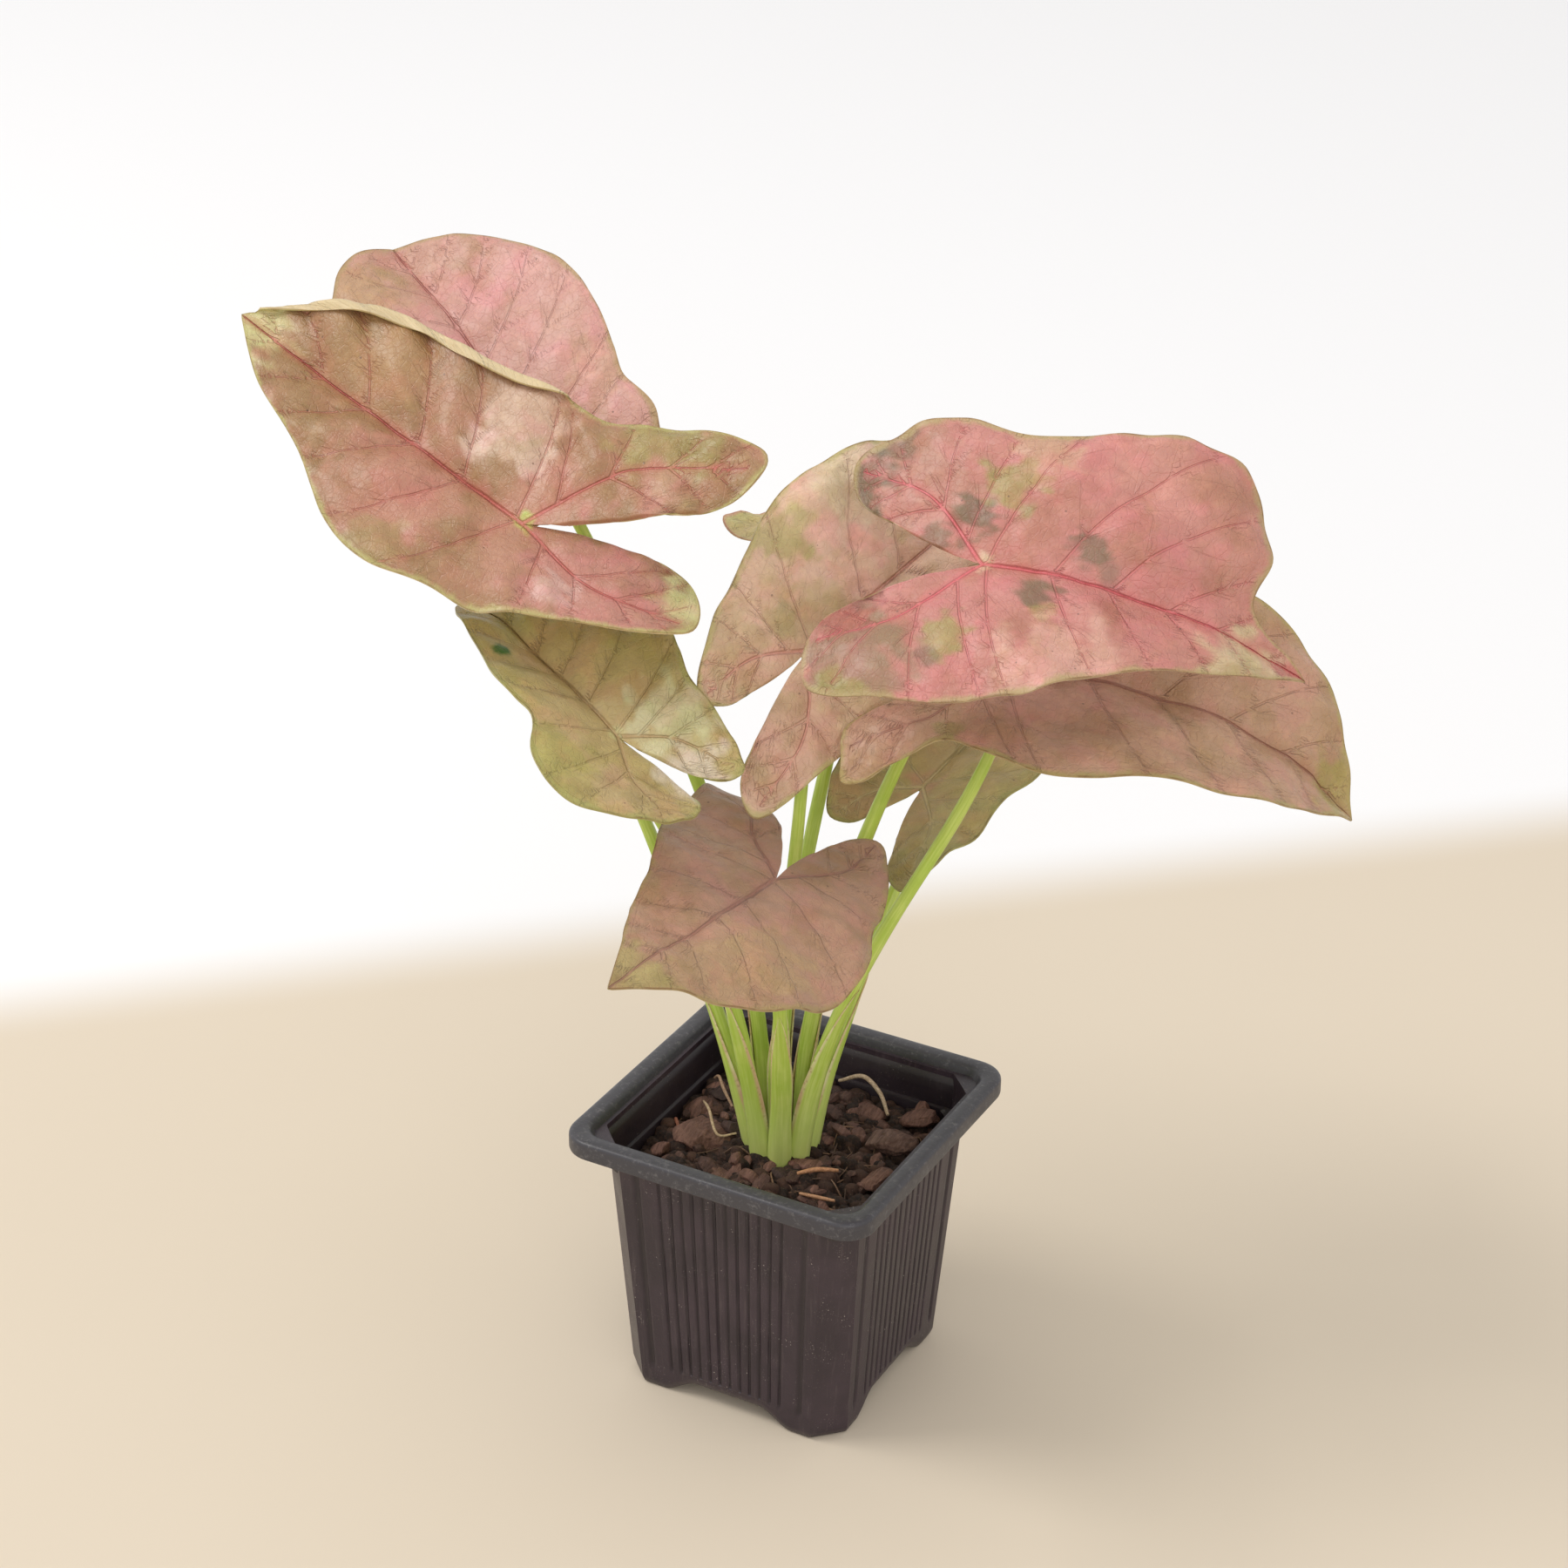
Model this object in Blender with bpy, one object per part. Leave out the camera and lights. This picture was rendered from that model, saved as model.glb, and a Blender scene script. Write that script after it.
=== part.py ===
"""Potted syngonium: nine arrowhead leaves on winged stalks in a small square nursery pot.

Everything is laid out in millimetres round the pot's axis, with the floor at z = 0, and is
turned into metres where a mesh is made. The whole plant then hangs under one empty, which
brings the bottom centre of its bounding box to the world's origin.
"""
import math
import random

import bmesh
import bpy
from mathutils import Euler, Vector

# Pot, millimetres
RIM_SIDE = 80.0            # outer side of the square rim
POT_HEIGHT = 72.0
RIM_DEPTH = 4.8            # the lip that hangs down round the rim
RIM_RADIUS = 7.5           # outer corners of the rim
RIM_WIDTH = 4.7            # flat top of the rim
RIM_THICKNESS = 2.2
LIP_THICKNESS = 1.4
LIP_EDGE = 0.2             # small bevel along the lip's lower edge
TOP_ROUND = 1.5            # rounding between the lip and the rim's top
INNER_ROUND = 0.8          # rounding of the rim's inner edge
BODY_SIDE_TOP = 67.6       # body under the rim
BODY_SIDE_BOTTOM = 59.0
BODY_CHAMFER = 6.6         # cut-off corners of the body
INNER_CHAMFER = 5.8        # the same inside
WALL = 1.0
FLOOR_Z = 4.8              # underside of the floor
FLOOR_THICKNESS = 1.4
FOOT_WIDTH = 2.6           # standing ring of the four corner feet
ARCH_HEIGHT = 4.2          # opening between two feet
ARCH_BASE = 33.0
ARCH_TOP = 19.0
LEDGE_Z = 60.5             # stacking ledge inside
LEDGE_WIDTH = 1.1
DRAIN_RADIUS = 3.5
DRAIN_OFFSET = 17.0
GROOVE_LOW_Z = 7.0
GROOVE_HIGH_Z = 63.0
DEEP_GROOVE_AT = 22.5      # from the middle of a face, at the top
DEEP_GROOVE_WIDTH = 1.5
FINE_GROOVE_SPAN = 16.5    # the ribbed panel reaches this far from the middle
FINE_GROOVES = 9
FINE_GROOVE_WIDTH = 0.9
GROOVE_DEPTH = 0.45

# Soil and crown, millimetres
SOIL_Z = 59.5              # mean level, about a centimetre under the rim
SOIL_GAP = 0.3
SOIL_STEPS = 14
SOIL_CLEAR = 2.0           # the plug's rim is fitted to the wall this far below the mean level
CROWN_RADIUS = 9.2
CROWN_TOP = 54.6
CROWN_DEPTH = 12.0
CROWN_FOOT = 4.0           # height of its narrowing lower end
CROWN_SIDES = 20
CHIP_COUNT = 16
CHIP_SIDES = 6
CHIP_LENGTH = (8.0, 13.0)
CHIP_ASPECT = (0.5, 0.75)
CHIP_THICKNESS = (2.2, 3.4)
CHIP_TILT = 0.35           # radians
CHIP_INNER_REACH = (17.0, 20.0)
CHIP_OUTER_REACH = (21.0, 23.5)
CHIP_SEED = 16
CLUMP_CENTRE = (-1.5, -0.5)
CLUMP_RADIUS = 6.3         # eight stalks stand in a ring round the ninth

# Leaves, millimetres
BLADE_THICKNESS = 0.7
STALK_GAP = 0.35
STALK_BASE_RADIUS = 2.2
STALK_TOP_RADIUS = 1.3
STALK_POINTS = 13
SEAT_AHEAD = 2.2           # the stalk meets the midrib this far ahead of the joint
STALK_FOOT = 3.0           # each stalk starts straight up for this far
STALK_KNEE = 4.0           # and ends square to the blade over this far
OUTLINE_STEPS = 13         # along each half of a blade's margin
RINGS = (0.24, 0.5, 0.78, 1.0)
BEND_WIDTH = 35.0          # half width over which a blade's curl is stated
BEND_LENGTH = 90.0         # length over which the droop of the tip is stated
BEND_LOBE = 45.0           # length over which the hang of a lobe is stated
WAVE_START = 0.55          # waves grow from here to the margin
MARGIN_ANGLES = (8, 20, 38, 60, 85, 108, 126)
LOBE_RETURN = ((9, 0.86), (13, 0.52), (18, 0.2))   # degrees past a lobe's tip, share of its reach

# One leaf each. joint: where the stalk meets the blade. turn: heading, pitch and roll in degrees,
# heading 0 being +Y. tip: length from the joint to the tip. left and right: reach of the margin
# from the joint at MARGIN_ANGLES from the midrib. lobe: reach and angle of the basal lobe's tip.
# fold: rise of both halves beside the midrib. curl: how far each half rolls down to its margin.
# droop and hang: downward bend of the tip and of each lobe. wave: height, count along a margin
# and phase of the waves. slot: place of the stalk in the clump, degrees from +X, none being the
# middle. rise and reach: the two points that bend the stalk.
LEAVES = {
    "left_front": dict(
        joint=(-53, -29, 220), turn=(80, 18, -31), tip=90,
        left=(75, 55, 44, 35, 26, 25, 24), lobe_left=(46, 187),
        right=(78, 62, 40, 32, 30, 40, 55), lobe_right=(55, 130),
        fold=16, curl=(20, 13), droop=0, hang=(11, 0), wave=(1.4, 3.0, 0.4),
        slot=205, rise=(-17, -6, 112), reach=(-60, 4, 170)),
    "left_back": dict(
        joint=(-64, -3, 228), turn=(65, 27, -22), tip=74,
        left=(75, 65, 50, 35, 25, 23, 22), lobe_left=(25, 143),
        right=(68, 60, 47, 32, 24, 27, 29), lobe_right=(46, 142),
        fold=19, curl=(13, 11), droop=18, hang=(15, 15), wave=(1.2, 2.5, 1.9),
        slot=160, rise=(-9, 7, 128), reach=(-41, 0, 184)),
    "left_low": dict(
        joint=(-22, -41, 181), turn=(70, 24, -7), tip=57,
        left=(52, 38, 28, 20, 24, 28, 30), lobe_left=(30, 168),
        right=(46, 37, 32, 29, 21, 22, 25), lobe_right=(29, 145),
        fold=24, curl=(19, 16), droop=35, hang=(-15, 16), wave=(0.8, 2.5, 0.9),
        slot=250, rise=(-7, -11, 106), reach=(-12, -24, 148)),
    "centre": dict(
        joint=(3, 0, 191), turn=(-16, 19, 45), tip=90,
        left=(77, 63, 48, 36, 26, 23, 24), lobe_left=(29, 164),
        right=(68, 46, 31, 25, 23, 24, 28), lobe_right=(41, 150),
        fold=14, curl=(11, 31), droop=17, hang=(12, 23), wave=(0.8, 2.5, 2.6),
        slot=None, rise=(-3, -5, 102), reach=(4, 2, 159)),
    "right_top": dict(
        joint=(42, 6, 218), turn=(274, 6, 35), tip=77,
        left=(60, 62, 60, 39, 31, 36, 39), lobe_left=(41, 148),
        right=(62, 47, 39, 37, 37, 40, 48), lobe_right=(42, 139),
        fold=20, curl=(17, 25), droop=70, hang=(9, 5), wave=(1.5, 3.0, 1.2),
        slot=70, rise=(-2, 9, 118), reach=(22, 17, 170)),
    "right_low": dict(
        joint=(42, 18, 188), turn=(279, 8, 30), tip=96,
        left=(82, 71, 53, 40, 30, 27, 26), lobe_left=(26, 143),
        right=(79, 61, 43, 38, 28, 26, 45), lobe_right=(41, 135),
        fold=24, curl=(16, 23), droop=70, hang=(15, 12), wave=(1.2, 2.5, 0.2),
        slot=340, rise=(9, -2, 116), reach=(42, 6, 147)),
    "back_low": dict(
        joint=(13, 41, 141), turn=(-11, 19, 3), tip=72,
        left=(62, 48, 36, 27, 22, 21, 22), lobe_left=(24, 148),
        right=(62, 51, 41, 33, 25, 26, 29), lobe_right=(37, 148),
        fold=19, curl=(18, 9), droop=17, hang=(9, 12), wave=(0.8, 2.5, 2.0),
        slot=25, rise=(7, 8, 91), reach=(12, 27, 114)),
    "front_low": dict(
        joint=(13, -32, 151), turn=(178, 5, -20), tip=68,
        left=(57, 50, 43, 36, 29, 24, 26), lobe_left=(36, 168),
        right=(53, 41, 31, 28, 29, 32, 38), lobe_right=(34, 139),
        fold=4, curl=(26, 17), droop=0, hang=(0, 20), wave=(0.6, 2.0, 1.1),
        slot=295, rise=(4, -10, 93), reach=(9, -22, 126)),
    "back_small": dict(
        joint=(-15, 60, 185), turn=(-60, 0, 0), tip=50,
        left=(43, 34, 25, 21, 21, 26, 32), lobe_left=(40, 142),
        right=(43, 34, 25, 20, 18, 22, 26), lobe_right=(30, 142),
        fold=12, curl=(15, 15), droop=20, hang=(5, 15), wave=(0.6, 2.0, 0.7),
        slot=115, rise=(-10, 7, 103), reach=(-10, 42, 153)),
}

# Colours, linear RGB
POT_COLOUR = (0.018, 0.016, 0.020)
SOIL_COLOUR = (0.030, 0.016, 0.011)
CROWN_COLOUR = (0.30, 0.32, 0.12)
STALK_COLOUR = (0.33, 0.52, 0.08)
LEAF_COLOURS = {
    "left_front": (0.40, 0.21, 0.12),
    "left_back": (0.46, 0.24, 0.19),
    "left_low": (0.33, 0.26, 0.09),
    "centre": (0.50, 0.30, 0.20),
    "right_top": (0.55, 0.22, 0.19),
    "right_low": (0.37, 0.19, 0.13),
    "back_low": (0.28, 0.22, 0.09),
    "front_low": (0.33, 0.19, 0.12),
    "back_small": (0.35, 0.33, 0.13),
}


def clear_scene():
    for obj in list(bpy.data.objects):
        bpy.data.objects.remove(obj, do_unlink=True)


def make_material(name, colour, roughness):
    material = bpy.data.materials.new(name)
    material.use_nodes = True
    shader = material.node_tree.nodes["Principled BSDF"]
    shader.inputs["Base Color"].default_value = (*colour, 1.0)
    shader.inputs["Roughness"].default_value = roughness
    shader.inputs["Metallic"].default_value = 0.0
    return material


def metres(point):
    return Vector(point) * 0.001


def add_mesh(name, bm, material, parent):
    """Make an object from a bmesh whose coordinates are metres."""
    bmesh.ops.recalc_face_normals(bm, faces=bm.faces)
    mesh = bpy.data.meshes.new(name)
    bm.to_mesh(mesh)
    bm.free()
    mesh.shade_smooth()
    mesh.set_sharp_from_angle(angle=math.radians(35))
    mesh.materials.append(material)
    obj = bpy.data.objects.new(name, mesh)
    bpy.context.scene.collection.objects.link(obj)
    obj.parent = parent
    return obj


def apply_modifiers(obj):
    """Bake the object's modifiers into its mesh."""
    depsgraph = bpy.context.evaluated_depsgraph_get()
    baked = bpy.data.meshes.new_from_object(obj.evaluated_get(depsgraph))
    obj.modifiers.clear()
    obj.data = baked


def boolean(obj, cutters, operation, solver="EXACT"):
    """Cut the cutters from the object, or join them to it, and remove them."""
    collection = bpy.data.collections.new(obj.name + "_tools")
    bpy.context.scene.collection.children.link(collection)
    for cutter in cutters:
        collection.objects.link(cutter)
    modifier = obj.modifiers.new("boolean", "BOOLEAN")
    modifier.operation = operation
    modifier.operand_type = "COLLECTION"
    modifier.collection = collection
    modifier.solver = solver
    apply_modifiers(obj)
    for cutter in cutters:
        bpy.data.objects.remove(cutter, do_unlink=True)
    bpy.data.collections.remove(collection)


# Pot

def square_loop(half, corner, rounded):
    """Points of a square with its corners rounded or cut off, counter-clockwise."""
    points = []
    for quarter in range(4):
        turn = quarter * math.pi / 2
        for step in range(4):
            part = step / 3
            if rounded:
                angle = part * math.pi / 2
                x = half - corner + corner * math.cos(angle)
                y = half - corner + corner * math.sin(angle)
            else:
                x = half - corner * part
                y = half - corner * (1 - part)
            points.append((x * math.cos(turn) - y * math.sin(turn),
                           x * math.sin(turn) + y * math.cos(turn)))
    return points


def body_half(z):
    """Half the body's outer side at a height."""
    share = z / (POT_HEIGHT - RIM_DEPTH)
    return (BODY_SIDE_BOTTOM + (BODY_SIDE_TOP - BODY_SIDE_BOTTOM) * share) / 2


def inner_half(z):
    """Half the pot's inner side at a height."""
    half = body_half(z) - WALL
    return half - LEDGE_WIDTH if z < LEDGE_Z else half


def prism(name, outline, z_low, z_high):
    """A closed prism over an outline in the XY plane, millimetres."""
    bm = bmesh.new()
    rings = []
    for z in (z_low, z_high):
        rings.append([bm.verts.new(metres((x, y, z))) for x, y in outline])
    bm.faces.new(rings[0])
    bm.faces.new(rings[1])
    for i in range(len(outline)):
        j = (i + 1) % len(outline)
        bm.faces.new((rings[0][i], rings[0][j], rings[1][j], rings[1][i]))
    bmesh.ops.recalc_face_normals(bm, faces=bm.faces)
    mesh = bpy.data.meshes.new(name)
    bm.to_mesh(mesh)
    bm.free()
    return bpy.data.objects.new(name, mesh)


def groove_cutter(face, across, width):
    """A thin wedge along a face's slope that cuts one groove."""
    corners = []
    for z in (GROOVE_LOW_Z, GROOVE_HIGH_Z):
        half = body_half(z)
        middle = across * half / body_half(GROOVE_HIGH_Z)
        for side, out in ((-1, -GROOVE_DEPTH), (1, -GROOVE_DEPTH), (1, 1.0), (-1, 1.0)):
            corners.append(Vector((middle + side * width / 2, -(half + out), z)))
    bm = bmesh.new()
    turn = Euler((0, 0, face * math.pi / 2))
    for corner in corners:
        corner.rotate(turn)
    verts = [bm.verts.new(metres(corner)) for corner in corners]
    for loop in ((0, 1, 2, 3), (4, 5, 6, 7), (0, 1, 5, 4), (1, 2, 6, 5), (2, 3, 7, 6), (3, 0, 4, 7)):
        bm.faces.new([verts[i] for i in loop])
    bmesh.ops.recalc_face_normals(bm, faces=bm.faces)
    mesh = bpy.data.meshes.new("groove")
    bm.to_mesh(mesh)
    bm.free()
    return bpy.data.objects.new("groove", mesh)


def arch_cutter(face):
    """The opening between two feet, through one side of the standing ring."""
    bm = bmesh.new()
    inner = body_half(0) - FOOT_WIDTH - 1.0
    outer = body_half(0) + 2.0
    outline = ((-ARCH_BASE / 2 - 1.0, -1.0), (ARCH_BASE / 2 + 1.0, -1.0),
               (ARCH_TOP / 2 + 2.0, ARCH_HEIGHT - 0.7), (ARCH_TOP / 2, ARCH_HEIGHT),
               (-ARCH_TOP / 2, ARCH_HEIGHT), (-ARCH_TOP / 2 - 2.0, ARCH_HEIGHT - 0.7))
    turn = Euler((0, 0, face * math.pi / 2))
    rings = []
    for y in (-outer, -inner):
        ring = []
        for x, z in outline:
            corner = Vector((x, y, z))
            corner.rotate(turn)
            ring.append(bm.verts.new(metres(corner)))
        rings.append(ring)
    bm.faces.new(rings[0])
    bm.faces.new(rings[1])
    for i in range(len(outline)):
        j = (i + 1) % len(outline)
        bm.faces.new((rings[0][i], rings[0][j], rings[1][j], rings[1][i]))
    bmesh.ops.recalc_face_normals(bm, faces=bm.faces)
    mesh = bpy.data.meshes.new("arch")
    bm.to_mesh(mesh)
    bm.free()
    return bpy.data.objects.new("arch", mesh)


def make_pot(parent):
    """One thin moulding: feet, floor, tapered walls, ledge and a rim with a hanging lip."""
    rim = RIM_SIDE / 2
    lip_low = POT_HEIGHT - RIM_DEPTH
    under_rim = POT_HEIGHT - RIM_THICKNESS
    floor_top = FLOOR_Z + FLOOR_THICKNESS
    rim_inner = rim - RIM_WIDTH
    lip_inner = rim - LIP_THICKNESS
    ledge_low = LEDGE_Z - 0.5
    levels = [
        (body_half(0) - FOOT_WIDTH, INNER_CHAMFER, 0.0, False),
        (body_half(0), BODY_CHAMFER, 0.0, False),
        (body_half(lip_low), BODY_CHAMFER, lip_low, False),
        (body_half(under_rim), BODY_CHAMFER, under_rim, False),
        (lip_inner, RIM_RADIUS - LIP_THICKNESS, under_rim, True),
        (lip_inner, RIM_RADIUS - LIP_THICKNESS, lip_low, True),
        (rim - LIP_EDGE, RIM_RADIUS - LIP_EDGE, lip_low, True),
        (rim, RIM_RADIUS, lip_low + 2 * LIP_EDGE, True),
        (rim, RIM_RADIUS, POT_HEIGHT - TOP_ROUND, True),
        (rim - TOP_ROUND / 3, RIM_RADIUS - TOP_ROUND / 3, POT_HEIGHT - TOP_ROUND / 3, True),
        (rim - TOP_ROUND, RIM_RADIUS - TOP_ROUND, POT_HEIGHT, True),
        (rim_inner + INNER_ROUND, INNER_CHAMFER + INNER_ROUND, POT_HEIGHT, True),
        (rim_inner, INNER_CHAMFER, POT_HEIGHT - INNER_ROUND, True),
        (inner_half(under_rim), INNER_CHAMFER, under_rim, False),
        (inner_half(LEDGE_Z), INNER_CHAMFER, LEDGE_Z, False),
        (inner_half(ledge_low), INNER_CHAMFER, ledge_low, False),
        (inner_half(floor_top), INNER_CHAMFER, floor_top, False),
    ]
    bm = bmesh.new()
    rings = []
    for half, corner, z, rounded in levels:
        rings.append([bm.verts.new(metres((x, y, z))) for x, y in square_loop(half, corner, rounded)])
    for low, high in zip(rings, rings[1:]):
        for i in range(len(low)):
            j = (i + 1) % len(low)
            bm.faces.new((low[i], low[j], high[j], high[i]))
    bm.faces.new(rings[-1])
    under = [bm.verts.new(metres((x, y, FLOOR_Z)))
             for x, y in square_loop(body_half(0) - FOOT_WIDTH, INNER_CHAMFER, False)]
    for i in range(len(under)):
        j = (i + 1) % len(under)
        bm.faces.new((rings[0][i], rings[0][j], under[j], under[i]))
    bm.faces.new(under)
    pot = add_mesh("pot", bm, make_material("pot_plastic", POT_COLOUR, 0.45), parent)

    cutters = [arch_cutter(face) for face in range(4)]
    circle = [(DRAIN_RADIUS * math.cos(a * math.pi / 6), DRAIN_RADIUS * math.sin(a * math.pi / 6))
              for a in range(12)]
    for cx, cy in ((0, 0), (1, 1), (-1, 1), (-1, -1), (1, -1)):
        hole = [(x + cx * DRAIN_OFFSET, y + cy * DRAIN_OFFSET) for x, y in circle]
        cutters.append(prism("drain", hole, FLOOR_Z - 1.0, floor_top + 1.0))
    boolean(pot, cutters, "DIFFERENCE")
    grooves = []
    for face in range(4):
        for across in (-DEEP_GROOVE_AT, DEEP_GROOVE_AT):
            grooves.append(groove_cutter(face, across, DEEP_GROOVE_WIDTH))
        for step in range(FINE_GROOVES):
            across = FINE_GROOVE_SPAN * (2 * step / (FINE_GROOVES - 1) - 1)
            grooves.append(groove_cutter(face, across, FINE_GROOVE_WIDTH))
    boolean(pot, grooves, "DIFFERENCE")
    return pot


# Soil and crown

def soil_height(x, y):
    """Rough surface of the soil, millimetres above the floor."""
    bumps = 0.9 * math.sin(x * 0.31 + 0.6) * math.cos(y * 0.27 - 0.4)
    bumps += 0.6 * math.sin(x * 0.73 + y * 0.55 + 1.3)
    bumps += 0.4 * math.cos(x * 1.1 - y * 0.9)
    sag = -1.2 * (max(abs(x), abs(y)) / 31.0) ** 4
    return SOIL_Z + bumps + sag


def keep_inside(x, y, half):
    """Pull a point back into a square with cut-off corners."""
    x = max(-half, min(half, x))
    y = max(-half, min(half, y))
    total = abs(x) + abs(y)
    limit = 2 * half - BODY_CHAMFER
    if total > limit:
        x *= limit / total
        y *= limit / total
    return x, y


def bark_chip(rng, x, y):
    """One flat angular chip of bark, sunk into the soil."""
    length = rng.uniform(*CHIP_LENGTH)
    width = length * rng.uniform(*CHIP_ASPECT)
    thick = rng.uniform(*CHIP_THICKNESS)
    lean = [rng.uniform(-CHIP_TILT, CHIP_TILT) for _ in range(2)]
    tilt = Euler((*lean, rng.uniform(0, math.tau)))
    bm = bmesh.new()
    for level in (-1, 1):
        for i in range(CHIP_SIDES):
            angle = math.tau * i / CHIP_SIDES
            size = rng.uniform(0.8, 1.1) * (1.0 if level < 0 else 0.82)
            corner = Vector((math.cos(angle) * length / 2 * size, math.sin(angle) * width / 2 * size,
                             level * thick / 2))
            corner.rotate(tilt)
            corner += Vector((x, y, soil_height(x, y) + 0.5))
            corner.x, corner.y = keep_inside(corner.x, corner.y, inner_half(SOIL_Z) - 1.2)
            bm.verts.new(metres(corner))
    result = bmesh.ops.convex_hull(bm, input=bm.verts)
    loose = [v for v in result["geom_interior"] if isinstance(v, bmesh.types.BMVert)]
    bmesh.ops.delete(bm, geom=loose, context="VERTS")
    bmesh.ops.recalc_face_normals(bm, faces=bm.faces)
    mesh = bpy.data.meshes.new("chip")
    bm.to_mesh(mesh)
    bm.free()
    return bpy.data.objects.new("chip", mesh)


def make_soil(parent):
    """A plug of potting mix with chips of bark fused into its surface and a plain round hole."""
    floor_top = FLOOR_Z + FLOOR_THICKNESS + SOIL_GAP
    count = SOIL_STEPS
    bm = bmesh.new()

    def place(i, j, half):
        return keep_inside(half * (2 * i / count - 1), half * (2 * j / count - 1), half)

    top_half = inner_half(SOIL_Z - SOIL_CLEAR) - SOIL_GAP
    low_half = inner_half(floor_top) - SOIL_GAP
    top = {}
    for i in range(count + 1):
        for j in range(count + 1):
            x, y = place(i, j, top_half)
            top[i, j] = bm.verts.new(metres((x, y, soil_height(x, y))))
    for i in range(count):
        for j in range(count):
            a, b, c, d = top[i, j], top[i + 1, j], top[i + 1, j + 1], top[i, j + 1]
            if (2 * i < count) == (2 * j < count):
                bm.faces.new((a, b, c))
                bm.faces.new((a, c, d))
            else:
                bm.faces.new((a, b, d))
                bm.faces.new((b, c, d))
    border = [(i, 0) for i in range(count)] + [(count, j) for j in range(count)]
    border += [(i, count) for i in range(count, 0, -1)] + [(0, j) for j in range(count, 0, -1)]
    bottom = []
    for i, j in border:
        x, y = place(i, j, low_half)
        bottom.append(bm.verts.new(metres((x, y, floor_top))))
    for k in range(len(border)):
        n = (k + 1) % len(border)
        bm.faces.new((top[border[k]], top[border[n]], bottom[n], bottom[k]))
    bm.faces.new(bottom)
    soil = add_mesh("soil", bm, make_material("potting_mix", SOIL_COLOUR, 0.95), parent)

    rng = random.Random(CHIP_SEED)
    chips = []
    for k in range(CHIP_COUNT):
        angle = math.tau * (k + rng.uniform(-0.25, 0.25)) / CHIP_COUNT
        reach = rng.uniform(*(CHIP_INNER_REACH if k % 2 else CHIP_OUTER_REACH))
        stretch = 1 / max(abs(math.cos(angle)), abs(math.sin(angle)))
        reach *= min(stretch, 1.18)
        chips.append(bark_chip(rng, reach * math.cos(angle), reach * math.sin(angle)))
    boolean(soil, chips, "UNION", "MANIFOLD")

    cx, cy = CLUMP_CENTRE
    hole_radius = CROWN_RADIUS + SOIL_GAP
    turns = [a * math.tau / CROWN_SIDES for a in range(CROWN_SIDES)]
    hole = [(cx + hole_radius * math.cos(turn), cy + hole_radius * math.sin(turn)) for turn in turns]
    deep = CROWN_TOP - CROWN_DEPTH - SOIL_GAP
    boolean(soil, [prism("hole", hole, deep, POT_HEIGHT + 20)], "DIFFERENCE", "MANIFOLD")
    return soil


def make_crown(parent):
    """The short stem that carries the stalks, standing in the hole in the soil."""
    cx, cy = CLUMP_CENTRE
    low = CROWN_TOP - CROWN_DEPTH
    bm = bmesh.new()
    rings = []
    for radius, z in ((CROWN_RADIUS * 0.7, low), (CROWN_RADIUS, low + CROWN_FOOT), (CROWN_RADIUS, CROWN_TOP)):
        ring = []
        for a in range(CROWN_SIDES):
            angle = a * math.tau / CROWN_SIDES
            ring.append(bm.verts.new(metres((cx + radius * math.cos(angle),
                                             cy + radius * math.sin(angle), z))))
        rings.append(ring)
    for lower, upper in zip(rings, rings[1:]):
        for i in range(CROWN_SIDES):
            j = (i + 1) % CROWN_SIDES
            bm.faces.new((lower[i], lower[j], upper[j], upper[i]))
    bm.faces.new(rings[0])
    bm.faces.new(rings[-1])
    return add_mesh("crown", bm, make_material("crown_tissue", CROWN_COLOUR, 0.6), parent)


# Leaves

def spline_through(points, count):
    """Even steps along a smooth curve through the points (centripetal Catmull-Rom)."""
    ends = [2 * points[0] - points[1]] + points + [2 * points[-1] - points[-2]]
    fine = []
    for a, b, c, d in zip(ends, ends[1:], ends[2:], ends[3:]):
        t0 = 0.0
        t1 = t0 + max((b - a).length, 1e-6) ** 0.5
        t2 = t1 + max((c - b).length, 1e-6) ** 0.5
        t3 = t2 + max((d - c).length, 1e-6) ** 0.5
        for step in range(10):
            t = t1 + (t2 - t1) * step / 10
            ab = a * ((t1 - t) / (t1 - t0)) + b * ((t - t0) / (t1 - t0))
            bc = b * ((t2 - t) / (t2 - t1)) + c * ((t - t1) / (t2 - t1))
            cd = c * ((t3 - t) / (t3 - t2)) + d * ((t - t2) / (t3 - t2))
            abc = ab * ((t2 - t) / (t2 - t0)) + bc * ((t - t0) / (t2 - t0))
            bcd = bc * ((t3 - t) / (t3 - t1)) + cd * ((t - t1) / (t3 - t1))
            fine.append(abc * ((t2 - t) / (t2 - t1)) + bcd * ((t - t1) / (t2 - t1)))
    fine.append(points[-1].copy())
    lengths = [0.0]
    for a, b in zip(fine, fine[1:]):
        lengths.append(lengths[-1] + (b - a).length)
    result = []
    k = 0
    for step in range(count + 1):
        goal = lengths[-1] * step / count
        while k < len(fine) - 2 and lengths[k + 1] < goal:
            k += 1
        span = max(lengths[k + 1] - lengths[k], 1e-9)
        result.append(fine[k].lerp(fine[k + 1], min(1.0, (goal - lengths[k]) / span)))
    return result


def half_outline(leaf, side, count):
    """Margin of one half of the flat blade, from the tip round the lobe to the joint."""
    reaches = leaf["right"] if side > 0 else leaf["left"]
    lobe, lobe_angle = leaf["lobe_right"] if side > 0 else leaf["lobe_left"]
    stations = [(0, leaf["tip"])] + list(zip(MARGIN_ANGLES, reaches)) + [(lobe_angle, lobe)]
    stations += [(lobe_angle + past, share * lobe) for past, share in LOBE_RETURN]
    points = []
    for degrees, reach in stations:
        angle = math.radians(degrees)
        points.append(Vector((side * reach * math.sin(angle), reach * math.cos(angle))))
    return spline_through(points, count)


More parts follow.
